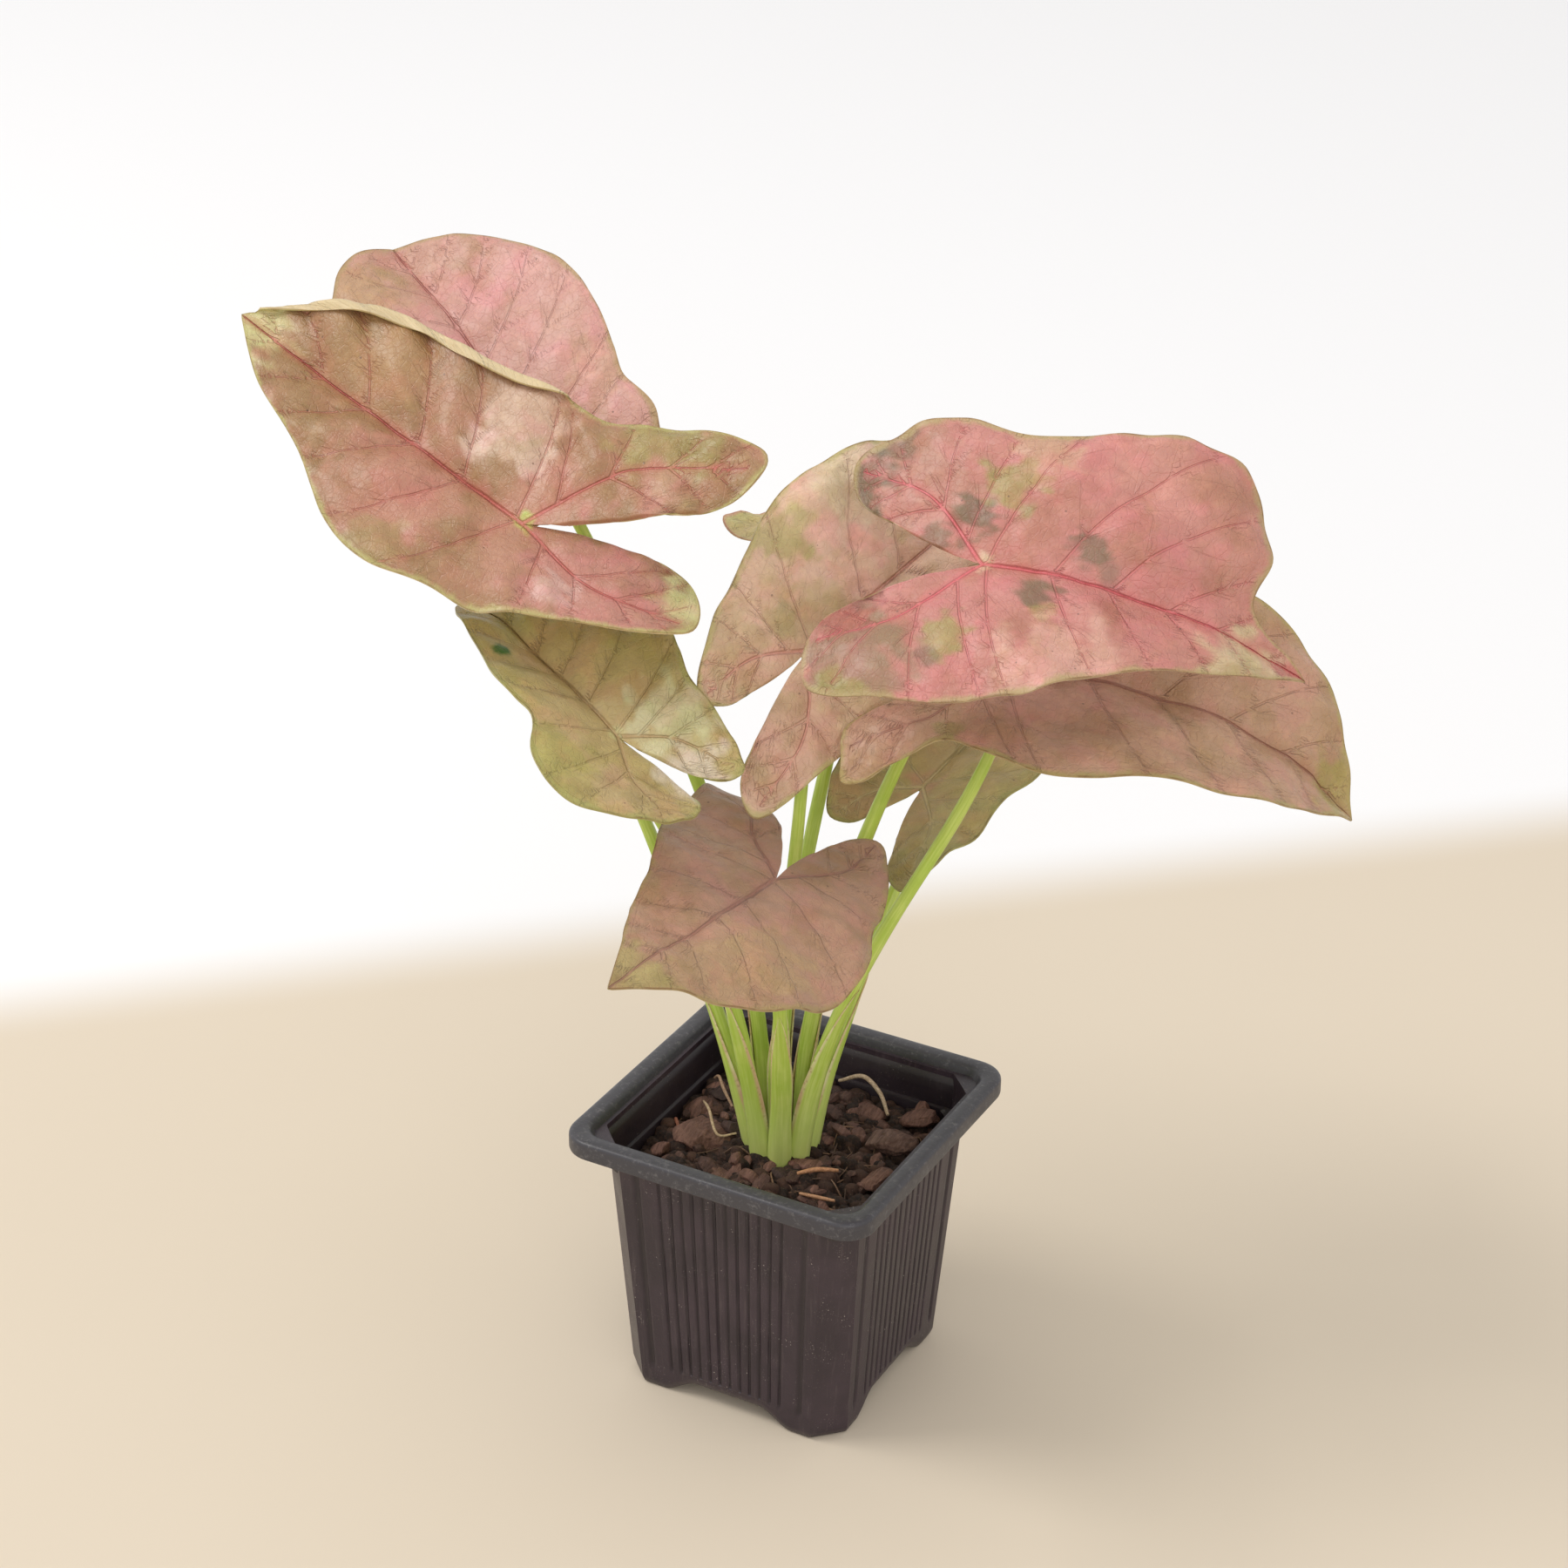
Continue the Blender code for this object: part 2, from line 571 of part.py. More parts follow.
def arc(length, start, turn_rate):
    """Run and rise of an arc that starts at an angle and turns down at a rate."""
    if abs(turn_rate) < 1e-7:
        return length * math.cos(start), length * math.sin(start)
    end = start - turn_rate * length
    return ((math.sin(start) - math.sin(end)) / turn_rate,
            (math.cos(end) - math.cos(start)) / turn_rate)


def bend(leaf, side, x, y, lift):
    """Take a point of one half of the flat blade to its place on the folded, curled and drooping leaf."""
    half = 1 if side > 0 else 0
    run, rise = arc(side * x, math.radians(leaf["fold"]), math.radians(leaf["curl"][half]) / BEND_WIDTH)
    rise += lift
    if y > 0:
        rate = math.radians(leaf["droop"]) / BEND_LENGTH
    else:
        rate = math.radians(leaf["hang"][half]) / BEND_LOBE
    along, drop = arc(abs(y), 0.0, rate)
    angle = rate * abs(y)
    along += rise * math.sin(angle)
    return Vector((side * run, math.copysign(along, y), drop + rise * math.cos(angle)))


def leaf_frame(leaf):
    """Rotation and place of a leaf: +Y is its midrib, +Z its upper face."""
    heading, pitch, roll = (math.radians(v) for v in leaf["turn"])
    turn = Euler((0, 0, heading)).to_matrix() @ Euler((pitch, 0, 0)).to_matrix()
    return turn @ Euler((0, roll, 0)).to_matrix(), Vector(leaf["joint"])


def blade_point(leaf, side, x, y, ring, share):
    """World place, in millimetres, of a point of the flat blade."""
    height, count, phase = leaf["wave"]
    grow = max(0.0, (ring - WAVE_START) / (1 - WAVE_START))
    fade = math.sin(math.pi * min(1.0, share * 1.1)) ** 0.5
    lift = height * grow ** 1.5 * fade * math.sin(math.tau * count * share + phase)
    turn, joint = leaf_frame(leaf)
    return turn @ bend(leaf, side, x, y, lift) + joint


def make_blade(name, leaf, colour, parent):
    """The blade as a thin closed sheet: rings of points out to the margin, upper and lower alike."""
    left = half_outline(leaf, -1, OUTLINE_STEPS)
    right = half_outline(leaf, 1, OUTLINE_STEPS)
    shares = [i / OUTLINE_STEPS for i in range(OUTLINE_STEPS + 1)]
    margin = [(1, p, share) for p, share in zip(right, shares)][:0:-1]
    margin += [(-1, p, share) for p, share in zip(left, shares)]
    middle = blade_point(leaf, 1, 0.0, 0.0, 0.0, 0.0)
    grid = [[blade_point(leaf, side, p.x * ring, p.y * ring, ring, share) for ring in RINGS]
            for side, p, share in margin]

    faces = []
    columns = len(grid)
    last = len(RINGS) - 1
    index = {}
    points = [middle]
    for c in range(columns):
        for r in range(len(RINGS)):
            index[c, r] = len(points)
            points.append(grid[c][r])
    for c in range(columns - 1):
        faces.append((0, index[c, 0], index[c + 1, 0]))
        for r in range(last):
            a, b = index[c, r], index[c, r + 1]
            d, e = index[c + 1, r], index[c + 1, r + 1]
            faces.append((a, b, e))
            faces.append((a, e, d))
    border = [0] + [index[0, r] for r in range(last + 1)] + [index[c, last] for c in range(1, columns)]
    border += [index[columns - 1, r] for r in range(last - 1, -1, -1)]

    normals = [Vector() for _ in points]
    for a, b, c in faces:
        normal = (points[b] - points[a]).cross(points[c] - points[a])
        for k in (a, b, c):
            normals[k] += normal
    bm = bmesh.new()
    upper, lower = [], []
    for point, normal in zip(points, normals):
        offset = normal.normalized() * BLADE_THICKNESS / 2
        upper.append(bm.verts.new(metres(point + offset)))
        lower.append(bm.verts.new(metres(point - offset)))
    for a, b, c in faces:
        bm.faces.new((upper[a], upper[b], upper[c]))
        bm.faces.new((lower[a], lower[c], lower[b]))
    for a, b in zip(border, border[1:] + border[:1]):
        bm.faces.new((upper[a], lower[a], lower[b]))
        bm.faces.new((upper[a], lower[b], upper[b]))
    return add_mesh(name, bm, make_material(name + "_skin", colour, 0.5), parent)


def stalk_route(leaf):
    """Points along the stalk, from the clump to just under the blade."""
    cx, cy = CLUMP_CENTRE
    base = Vector((cx, cy, CROWN_TOP + STALK_GAP))
    if leaf["slot"] is not None:
        slot = math.radians(leaf["slot"])
        base += Vector((math.cos(slot), math.sin(slot), 0)) * CLUMP_RADIUS
    turn, joint = leaf_frame(leaf)
    first = blade_point(leaf, 1, 0.0, leaf["tip"] * RINGS[0], RINGS[0], 0.0)
    seat = joint + (first - joint).normalized() * SEAT_AHEAD
    down = -(turn @ Vector((0, 0, 1)))
    end = seat + down * (BLADE_THICKNESS / 2 + STALK_GAP)
    knee = end + down * STALK_KNEE
    rise, reach = Vector(leaf["rise"]), Vector(leaf["reach"])
    foot = base + Vector((0, 0, STALK_FOOT))
    points = [base]
    for step in range(STALK_POINTS):
        t = step / (STALK_POINTS - 1)
        points.append(foot * (1 - t) ** 3 + rise * (3 * t * (1 - t) ** 2)
                      + reach * (3 * t * t * (1 - t)) + knee * t ** 3)
    return points + [end + down * 1.6, end]


def make_stalk(name, leaf, material, parent):
    """A tapering round stalk."""
    points = stalk_route(leaf)
    curve = bpy.data.curves.new(name, "CURVE")
    curve.dimensions = "3D"
    curve.bevel_depth = STALK_BASE_RADIUS * 0.001
    curve.bevel_resolution = 2
    curve.use_fill_caps = True
    spline = curve.splines.new("POLY")
    spline.points.add(len(points) - 1)
    for i, (slot, point) in enumerate(zip(spline.points, points)):
        slot.co = (*metres(point), 1.0)
        share = (i / (len(points) - 1)) ** 0.8
        slot.radius = 1.0 + (STALK_TOP_RADIUS / STALK_BASE_RADIUS - 1.0) * share
    curve.materials.append(material)
    obj = bpy.data.objects.new(name, curve)
    bpy.context.scene.collection.objects.link(obj)
    obj.parent = parent
    return obj


def main():
    clear_scene()
    root = bpy.data.objects.new("plant_root", None)
    bpy.context.scene.collection.objects.link(root)
    make_pot(root)
    make_soil(root)
    make_crown(root)
    stalk_material = make_material("stalk_skin", STALK_COLOUR, 0.45)
    for name, leaf in LEAVES.items():
        make_stalk("stalk_" + name, leaf, stalk_material, root)
        make_blade("leaf_" + name, leaf, LEAF_COLOURS[name], root)

    # The origin goes to the bottom centre of the whole plant's bounding box
    bpy.context.view_layer.update()
    depsgraph = bpy.context.evaluated_depsgraph_get()
    corners = []
    for obj in bpy.data.objects:
        if obj.type in {"MESH", "CURVE"}:
            mesh = obj.evaluated_get(depsgraph).to_mesh()
            corners += [obj.matrix_world @ v.co for v in mesh.vertices]
    for axis in (0, 1):
        values = [c[axis] for c in corners]
        root.location[axis] = -(min(values) + max(values)) / 2
    root.location[2] = -min(c[2] for c in corners)


main()
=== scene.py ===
"""Looks of the potted syngonium: veined, waved leaves on sheathed petioles, potting mix and a plastic pot.

Lengths are millimetres round the pot's axis, with the floor at z = 0, unless a name says otherwise.
Each blade and petiole follows the same curves as the solid that it replaces.
"""
import math
from functools import reduce

import bmesh
import bpy
import numpy as np
from mathutils import Matrix, Vector


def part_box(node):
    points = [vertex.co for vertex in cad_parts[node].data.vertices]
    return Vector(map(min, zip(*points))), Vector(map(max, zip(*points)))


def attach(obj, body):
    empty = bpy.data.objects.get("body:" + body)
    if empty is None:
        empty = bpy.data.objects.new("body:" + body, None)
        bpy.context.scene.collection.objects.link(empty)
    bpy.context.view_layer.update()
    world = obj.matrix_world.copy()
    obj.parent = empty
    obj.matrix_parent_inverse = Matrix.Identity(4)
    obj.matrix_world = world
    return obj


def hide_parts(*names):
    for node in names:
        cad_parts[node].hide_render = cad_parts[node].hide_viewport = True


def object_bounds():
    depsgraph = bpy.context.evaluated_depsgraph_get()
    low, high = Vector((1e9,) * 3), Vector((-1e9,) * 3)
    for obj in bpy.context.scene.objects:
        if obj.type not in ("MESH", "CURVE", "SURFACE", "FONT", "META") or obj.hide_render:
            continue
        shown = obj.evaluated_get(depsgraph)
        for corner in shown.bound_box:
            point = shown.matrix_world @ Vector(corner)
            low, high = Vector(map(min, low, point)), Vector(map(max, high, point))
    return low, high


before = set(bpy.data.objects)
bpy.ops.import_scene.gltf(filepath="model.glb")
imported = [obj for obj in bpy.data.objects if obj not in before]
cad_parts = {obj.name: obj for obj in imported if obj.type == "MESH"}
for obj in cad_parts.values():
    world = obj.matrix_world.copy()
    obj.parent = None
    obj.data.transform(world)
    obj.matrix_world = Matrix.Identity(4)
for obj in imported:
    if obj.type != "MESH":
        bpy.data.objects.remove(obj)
cad_low, cad_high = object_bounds()
pot_low, pot_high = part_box("pot")
POT_CENTRE = np.array([(pot_low.x + pot_high.x) / 2, (pot_low.y + pot_high.y) / 2, 0.0])

# Camera: an 80 mm lens, round the pot's axis at the height of its rim
LENS = 80.0
SENSOR = 36.0
CAMERA_AZIMUTH = 28.1
CAMERA_ELEVATION = 27.2
CAMERA_ROLL = 0.9
CAMERA_DISTANCE = 830.4
CAMERA_TARGET = (0.0, 0.0, 72.2)
CAMERA_ASIDE = -1.0
CAMERA_RAISED = 75.3

# Pot
RIM_SIDE = 80.0
POT_HEIGHT = 72.0
RIM_DEPTH = 4.8
RIM_RADIUS = 7.5
BODY_SIDE_TOP = 67.6
BODY_SIDE_BOTTOM = 59.0
BODY_CHAMFER = 6.6
WALL = 1.0
FLOOR_Z = 4.8
FLOOR_THICKNESS = 1.4
FOOT_WIDTH = 2.6
ARCH_HEIGHT = 4.2
ARCH_BASE = 33.0
ARCH_TOP = 19.0
LEDGE_Z = 60.5
LEDGE_WIDTH = 1.1
DRAIN_RADIUS = 3.5
DRAIN_OFFSET = 17.0
GROOVE_LOW_Z = 7.0
GROOVE_HIGH_Z = 63.0
DEEP_GROOVE_AT = 22.5
DEEP_GROOVE_WIDTH = 1.5
FINE_GROOVE_SPAN = 16.5
FINE_GROOVES = 12
FINE_GROOVE_WIDTH = 0.8
GROOVE_DEPTH = 0.45
FACE_COLUMNS = 170
CORNER_COLUMNS = 10
FLAT_CORNER = 0.05
PLATE_HOLE_POINTS = 28

# The foot's section: distance in from the face, and height
FOOT_PROFILE = ((FOOT_WIDTH, 2.0), (FOOT_WIDTH, 0.9), (FOOT_WIDTH - 0.35, 0.2), (1.3, 0.0), (0.75, 0.12),
                (0.35, 0.55), (0.12, 1.2))
# The rim's section: distance in from its side, and height, from under the lip round to the bore
RIM_PROFILE = ((1.7, 69.8), (1.4, 69.5), (1.4, 67.5), (1.1, 67.2), (0.45, 67.2), (0.12, 67.35), (0.0, 67.8),
               (0.0, 70.7), (0.07, 71.15), (0.25, 71.5), (0.55, 71.75), (1.0, 71.9), (1.8, 72.0),
               (3.3, 71.95), (4.0, 71.75), (4.45, 71.3), (4.65, 70.7))
# The funnel below the rim: half side and height. Then the step down to the ledge: set back and height
FUNNEL_PROFILE = ((35.0, 69.9), (34.6, 69.2), (34.1, 68.5), (33.6, 67.9), (33.2, 67.3), (32.9, 66.6))
LEDGE_PROFILE = ((-0.3, 64.0), (0.0, LEDGE_Z + 0.9), (0.15, LEDGE_Z + 0.15), (0.9, LEDGE_Z - 0.05))

# Soil, what lies in it, and the clump
SOIL_Z = 59.5
SOIL_POINTS = 210
SOIL_SEED = 7
LITTER_SEED = 21
CRUMBS = 2600
SMALL_CHIPS = 190
CHIP_COLOUR = (0.2, 0.102, 0.074)
THREADS = 110
THREAD_COLOUR = (0.34, 0.2, 0.12)
CROWN_TOP = 54.6
CLUMP_CENTRE = (-1.5, -0.5)
CLUMP_RADIUS = 6.3

# Leaves and petioles
LEAF_SEED = 100
STALK_SEED = 300
BLADE_THICKNESS = 0.5
STALK_BASE_RADIUS = 2.2
STALK_TOP_RADIUS = 1.3
STALK_SIDES = 20
SHEATH_TOP = 106.0
SHEATH_COLUMNS = 26
SHEATH_THICKNESS = 0.35
SEAT_AHEAD = 2.2
FIRST_RING = 0.24
BEND_WIDTH = 35.0
BEND_LENGTH = 90.0
BEND_LOBE = 45.0
WAVE_START = 0.55
VEIN_STEP = 1.5
BASAL_STEPS = 24
MARGIN_SPAN = 60.0
RIPPLE_WAVES = 7
CURVE_STEPS = 24
BOX_EASE = 1.5
ROLL_TURN = math.radians(165)
MARGIN_ANGLES = (8, 20, 38, 60, 85, 108, 126)
LOBE_SHARES = (0.86, 0.52, 0.2)
LOBE_RETURN = (9, 13, 18)

# Floor and light, in metres. The floor turns pale over FLOOR_FADE millimetres along FLOOR_AWAY.
# Each light has a place, a size, watts and a colour.
FLOOR_HALF = 6.0
FLOOR_AWAY = (-0.691, 0.723)
FLOOR_FADE = (180.0, 225.0)
WORLD_STRENGTH = 0.86
LIGHT_AIM = (0.0, 0.0, 0.13)
LIGHTS = {
    "key": ((-1.3, -0.7, 1.9), (0.9, 0.7), 21.0, (1.0, 0.98, 0.95)),
    "fill": ((1.2, -1.5, 0.9), (1.2, 1.0), 8.0, (1.0, 0.96, 0.92)),
}

# The shape of each leaf, as in its solid. joint: where the petiole meets the blade. turn: heading, pitch
# and roll in degrees. tip: length of the midrib. left and right: reach of the margin at MARGIN_ANGLES.
# lobe: reach and angle of the basal lobe. fold, curl, droop and hang bend it. wave: height, count, phase.
# slot: place of the petiole in the clump. rise and reach bend the petiole.
LEAVES = {
    "left_front": dict(
        joint=(-53, -29, 220), turn=(80, 18, -31), tip=90,
        left=(75, 55, 44, 35, 26, 25, 24), lobe_left=(46, 187),
        right=(78, 62, 40, 32, 30, 40, 55), lobe_right=(55, 130),
        fold=16, curl=(20, 13), droop=0, hang=(11, 0), wave=(1.4, 3.0, 0.4),
        slot=205, rise=(-17, -6, 112), reach=(-60, 4, 170)),
    "left_back": dict(
        joint=(-64, -3, 228), turn=(65, 27, -22), tip=74,
        left=(75, 65, 50, 35, 25, 23, 22), lobe_left=(25, 143),
        right=(68, 60, 47, 32, 24, 27, 29), lobe_right=(46, 142),
        fold=19, curl=(13, 11), droop=18, hang=(15, 15), wave=(1.2, 2.5, 1.9),
        slot=160, rise=(-9, 7, 128), reach=(-41, 0, 184)),
    "left_low": dict(
        joint=(-22, -41, 181), turn=(70, 24, -7), tip=57,
        left=(52, 38, 28, 20, 24, 28, 30), lobe_left=(30, 168),
        right=(46, 37, 32, 29, 21, 22, 25), lobe_right=(29, 145),
        fold=24, curl=(19, 16), droop=35, hang=(-15, 16), wave=(0.8, 2.5, 0.9),
        slot=250, rise=(-7, -11, 106), reach=(-12, -24, 148)),
    "centre": dict(
        joint=(3, 0, 191), turn=(-16, 19, 45), tip=90,
        left=(77, 63, 48, 36, 26, 23, 24), lobe_left=(29, 164),
        right=(68, 46, 31, 25, 23, 24, 28), lobe_right=(41, 150),
        fold=14, curl=(11, 31), droop=17, hang=(12, 23), wave=(0.8, 2.5, 2.6),
        slot=None, rise=(-3, -5, 102), reach=(4, 2, 159)),
    "right_top": dict(
        joint=(42, 6, 218), turn=(274, 6, 35), tip=77,
        left=(60, 62, 60, 39, 31, 36, 39), lobe_left=(41, 148),
        right=(62, 47, 39, 37, 37, 40, 48), lobe_right=(42, 139),
        fold=20, curl=(17, 25), droop=70, hang=(9, 5), wave=(1.5, 3.0, 1.2),
        slot=70, rise=(-2, 9, 118), reach=(22, 17, 170)),
    "right_low": dict(
        joint=(42, 18, 188), turn=(279, 8, 30), tip=96,
        left=(82, 71, 53, 40, 30, 27, 26), lobe_left=(26, 143),
        right=(79, 61, 43, 38, 28, 26, 45), lobe_right=(41, 135),
        fold=24, curl=(16, 23), droop=70, hang=(15, 12), wave=(1.2, 2.5, 0.2),
        slot=340, rise=(9, -2, 116), reach=(42, 6, 147)),
    "back_low": dict(
        joint=(13, 41, 141), turn=(-11, 19, 3), tip=72,
        left=(62, 48, 36, 27, 22, 21, 22), lobe_left=(24, 148),
        right=(62, 51, 41, 33, 25, 26, 29), lobe_right=(37, 148),
        fold=19, curl=(18, 9), droop=17, hang=(9, 12), wave=(0.8, 2.5, 2.0),
        slot=25, rise=(7, 8, 91), reach=(12, 27, 114)),
    "front_low": dict(
        joint=(13, -32, 151), turn=(178, 5, -20), tip=68,
        left=(57, 50, 43, 36, 29, 24, 26), lobe_left=(36, 168),
        right=(53, 41, 31, 28, 29, 32, 38), lobe_right=(34, 139),
        fold=4, curl=(26, 17), droop=0, hang=(0, 20), wave=(0.6, 2.0, 1.1),
        slot=295, rise=(4, -10, 93), reach=(9, -22, 126)),
    "back_small": dict(
        joint=(-15, 60, 185), turn=(-60, 0, 0), tip=50,
        left=(43, 34, 25, 21, 21, 26, 32), lobe_left=(40, 142),
        right=(43, 34, 25, 20, 18, 22, 26), lobe_right=(30, 142),
        fold=12, curl=(15, 15), droop=20, hang=(5, 15), wave=(0.6, 2.0, 0.7),
        slot=115, rise=(-10, 7, 103), reach=(-10, 42, 153)),
}

# The finish of each leaf. steps: columns along half a margin, and rings. base: colour round the joint,
# middle and outer: colours further out, edge: the margin, vein: main veins, under: lower face.
# patches: place on the flat leaf, radius, colour and strength. rolls: side, range along the half margin
# from the tip, width and radius of a margin that rolls up. sinus: the turns past the left lobe where
# they aren't LOBE_RETURN.
OLIVE = (0.33, 0.28, 0.09)
DARK_OLIVE = (0.15, 0.12, 0.06)
PALE_GREEN = (0.58, 0.56, 0.26)
CREAM = (0.72, 0.58, 0.4)
LOOKS = {
    "left_front": dict(
        steps=(150, 60), base=(0.44, 0.22, 0.14), middle=(0.34, 0.185, 0.09), outer=(0.33, 0.19, 0.085),
        edge=(0.46, 0.42, 0.15), vein=(0.54, 0.13, 0.11), under=(0.66, 0.52, 0.3), gloss=0.3, ink=0.5,
        quilt=1.0,
        patches=((-12, 28, 20, (0.46, 0.2, 0.14), 0.6), (-4, -24, 20, (0.5, 0.22, 0.18), 0.8),
                 (36, -14, 15, OLIVE, 0.7), (24, -20, 8, (0.52, 0.26, 0.19), 0.6),
                 # The pale cream patches round the joint, at (18, 16), (9, 22), (13, 8) and (-8, -18), are
                 # painted sheen: the highlight on the glossy quilted blade there
                 (46, -32, 10, (0.4, 0.22, 0.12), 0.7), (18, 16, 11, (0.62, 0.43, 0.32), 0.6),
                 (9, 22, 5, (0.68, 0.5, 0.4), 0.6), (13, 8, 5, (0.66, 0.48, 0.38), 0.6),
                 (-8, -18, 5, (0.64, 0.44, 0.38), 0.5), (12, -40, 8, PALE_GREEN, 0.8),
                 (0, 86, 12, PALE_GREEN, 0.8), (12, 52, 14, (0.4, 0.23, 0.1), 0.6),
                 (-26, 20, 9, OLIVE, 0.4), (0, 0, 3, (0.45, 0.55, 0.12), 0.9)),
        sinus=(17, 22, 24), rolls=((1, 0.02, 0.47, 6.0, 0.9),)),
    "left_back": dict(
        steps=(140, 48), base=(0.6, 0.33, 0.27), middle=(0.58, 0.31, 0.26), outer=(0.52, 0.28, 0.21),
        edge=(0.4, 0.28, 0.12), vein=(0.5, 0.19, 0.16), under=(0.5, 0.4, 0.24), gloss=0.42, ink=0.3,
        quilt=0.55,
        patches=((-18, 62, 14, (0.46, 0.28, 0.14), 0.8), (12, 44, 14, (0.6, 0.29, 0.26), 0.5),
                 (20, 6, 10, (0.5, 0.3, 0.18), 0.5))),
    "left_low": dict(
        steps=(110, 44), base=(0.44, 0.33, 0.14), middle=(0.42, 0.32, 0.12), outer=(0.36, 0.31, 0.1),
        edge=(0.34, 0.32, 0.09), vein=(0.42, 0.27, 0.12), under=(0.44, 0.42, 0.18), gloss=0.4, ink=0.25,
        quilt=0.9,
        patches=((12, -4, 11, (0.56, 0.52, 0.3), 0.8), (8, -17, 8, (0.6, 0.5, 0.38), 0.8),
                 (-9, 32, 2.0, (0.04, 0.12, 0.01), 1.0), (-20, -2, 10, (0.36, 0.32, 0.08), 0.6),
                 (3, 24, 12, (0.46, 0.34, 0.14), 0.6), (-12, -16, 9, (0.46, 0.33, 0.17), 0.6),
                 (0, 0, 2.5, PALE_GREEN, 0.8)), sinus=(22, 26, 22)),
    "centre": dict(
        steps=(140, 48), base=(0.62, 0.44, 0.27), middle=(0.7, 0.46, 0.33), outer=(0.68, 0.45, 0.3),
        edge=(0.48, 0.42, 0.16), vein=(0.66, 0.3, 0.23), under=(0.52, 0.42, 0.24), gloss=0.4, ink=0.35,
        quilt=0.7,
        patches=((-23, 36, 14, CREAM, 0.7), (-16, 14, 9, (0.74, 0.46, 0.36), 0.6),
                 (-24, 12, 8, (0.48, 0.4, 0.17), 0.8), (-12, -18, 12, (0.46, 0.34, 0.17), 0.6),
                 (14, -20, 16, (0.56, 0.34, 0.24), 0.7), (-9, -2, 5, OLIVE, 0.4),
                 (-10, 30, 6, (0.72, 0.36, 0.29), 0.6))),
    "right_top": dict(
        steps=(160, 56), base=(0.54, 0.22, 0.19), middle=(0.51, 0.21, 0.175), outer=(0.5, 0.22, 0.17),
        edge=(0.42, 0.32, 0.14), vein=(0.68, 0.13, 0.15), under=(0.5, 0.38, 0.24), gloss=0.4, ink=0.4,
        quilt=0.45,
        patches=((-17, -16, 14, (0.42, 0.22, 0.15), 0.6), (-17, -33, 9, DARK_OLIVE, 0.85),
                 (-28, -26, 7, DARK_OLIVE, 0.6), (-11, -4, 6, DARK_OLIVE, 0.85),
                 (-4, -12, 5, DARK_OLIVE, 0.6),
                 (-19, 3, 7, OLIVE, 0.8), (-7, 22, 4.5, DARK_OLIVE, 0.75), (-3, 27, 3, DARK_OLIVE, 0.5),
                 (6, 14, 4.5, DARK_OLIVE, 0.8), (11, 16, 3, OLIVE, 0.6), (22, -2, 6, OLIVE, 0.8),
                 (27, -4, 3, DARK_OLIVE, 0.6), (30, -20, 16, (0.3, 0.2, 0.12), 0.8),
                 (40, -22, 8, OLIVE, 0.8),
                 (12, -26, 6, (0.24, 0.09, 0.06), 0.85), (19, -25, 6, (0.44, 0.13, 0.1), 0.7),
                 (26, 24, 15, (0.66, 0.38, 0.3), 0.7), (8, 62, 12, (0.58, 0.48, 0.28), 0.8),
                 (-28, 8, 8, (0.52, 0.33, 0.2), 0.7), (-30, 32, 14, (0.6, 0.28, 0.23), 0.5),
                 (0, 0, 2.5, CREAM, 0.9))),
    "right_low": dict(
        steps=(150, 52), base=(0.52, 0.28, 0.2), middle=(0.52, 0.3, 0.2), outer=(0.48, 0.29, 0.18),
        edge=(0.42, 0.34, 0.12), vein=(0.4, 0.17, 0.12), under=(0.46, 0.36, 0.2), gloss=0.42, ink=0.3,
        quilt=0.45,
        patches=((0, 88, 12, (0.42, 0.34, 0.11), 0.8), (16, 48, 14, (0.5, 0.31, 0.18), 0.6),
                 (28, -16, 14, (0.44, 0.27, 0.16), 0.5), (-26, 52, 12, (0.42, 0.27, 0.13), 0.6),
                 (22, -6, 4, OLIVE, 0.6), (14, 20, 10, (0.5, 0.25, 0.18), 0.5))),
    "back_low": dict(
        steps=(100, 40), base=(0.42, 0.3, 0.13), middle=(0.4, 0.32, 0.12), outer=(0.38, 0.32, 0.12),
        edge=(0.34, 0.33, 0.1), vein=(0.54, 0.44, 0.22), under=(0.36, 0.36, 0.14), gloss=0.42, ink=0.5,
        quilt=0.7,
        patches=((-13, -10, 9, (0.38, 0.26, 0.12), 0.6), (20, -10, 12, (0.44, 0.38, 0.15), 0.6),
                 (0, 0, 5, (0.46, 0.22, 0.14), 0.6))),
    "front_low": dict(
        steps=(120, 44), base=(0.42, 0.24, 0.16), middle=(0.42, 0.24, 0.155), outer=(0.4, 0.25, 0.135),
        edge=(0.36, 0.26, 0.1), vein=(0.32, 0.14, 0.1), under=(0.42, 0.34, 0.18), gloss=0.5, ink=0.12,
        quilt=0.25,
        patches=((20, 4, 14, (0.46, 0.29, 0.19), 0.7), (0, 60, 10, (0.38, 0.3, 0.11), 0.8),
                 (-16, 26, 12, (0.42, 0.28, 0.13), 0.6))),
    "back_small": dict(
        steps=(90, 36), base=(0.52, 0.42, 0.17), middle=(0.52, 0.44, 0.18), outer=(0.54, 0.48, 0.2),
        edge=(0.6, 0.3, 0.2), vein=(0.56, 0.46, 0.22), under=(0.46, 0.4, 0.2), gloss=0.45, ink=0.3,
        quilt=0.6,
        patches=()),
}


# Meshes

def metres(points):
    """Places in the world, in metres, of points given in millimetres round the pot."""
    return (np.asarray(points, float) + POT_CENTRE * 1000) * 0.001


def link_object(name, data):
    obj = bpy.data.objects.new(name, data)
    bpy.context.scene.collection.objects.link(obj)
    return obj


def axis_turns(*angles):
    """Matrices of turns about X, Y and Z."""
    (cx, cy, cz), (sx, sy, sz) = np.cos(angles), np.sin(angles)
    return (np.array([[1, 0, 0], [0, cx, -sx], [0, sx, cx]]),
            np.array([[cy, 0, sy], [0, 1, 0], [-sy, 0, cy]]),
            np.array([[cz, -sz, 0], [sz, cz, 0], [0, 0, 1]]))


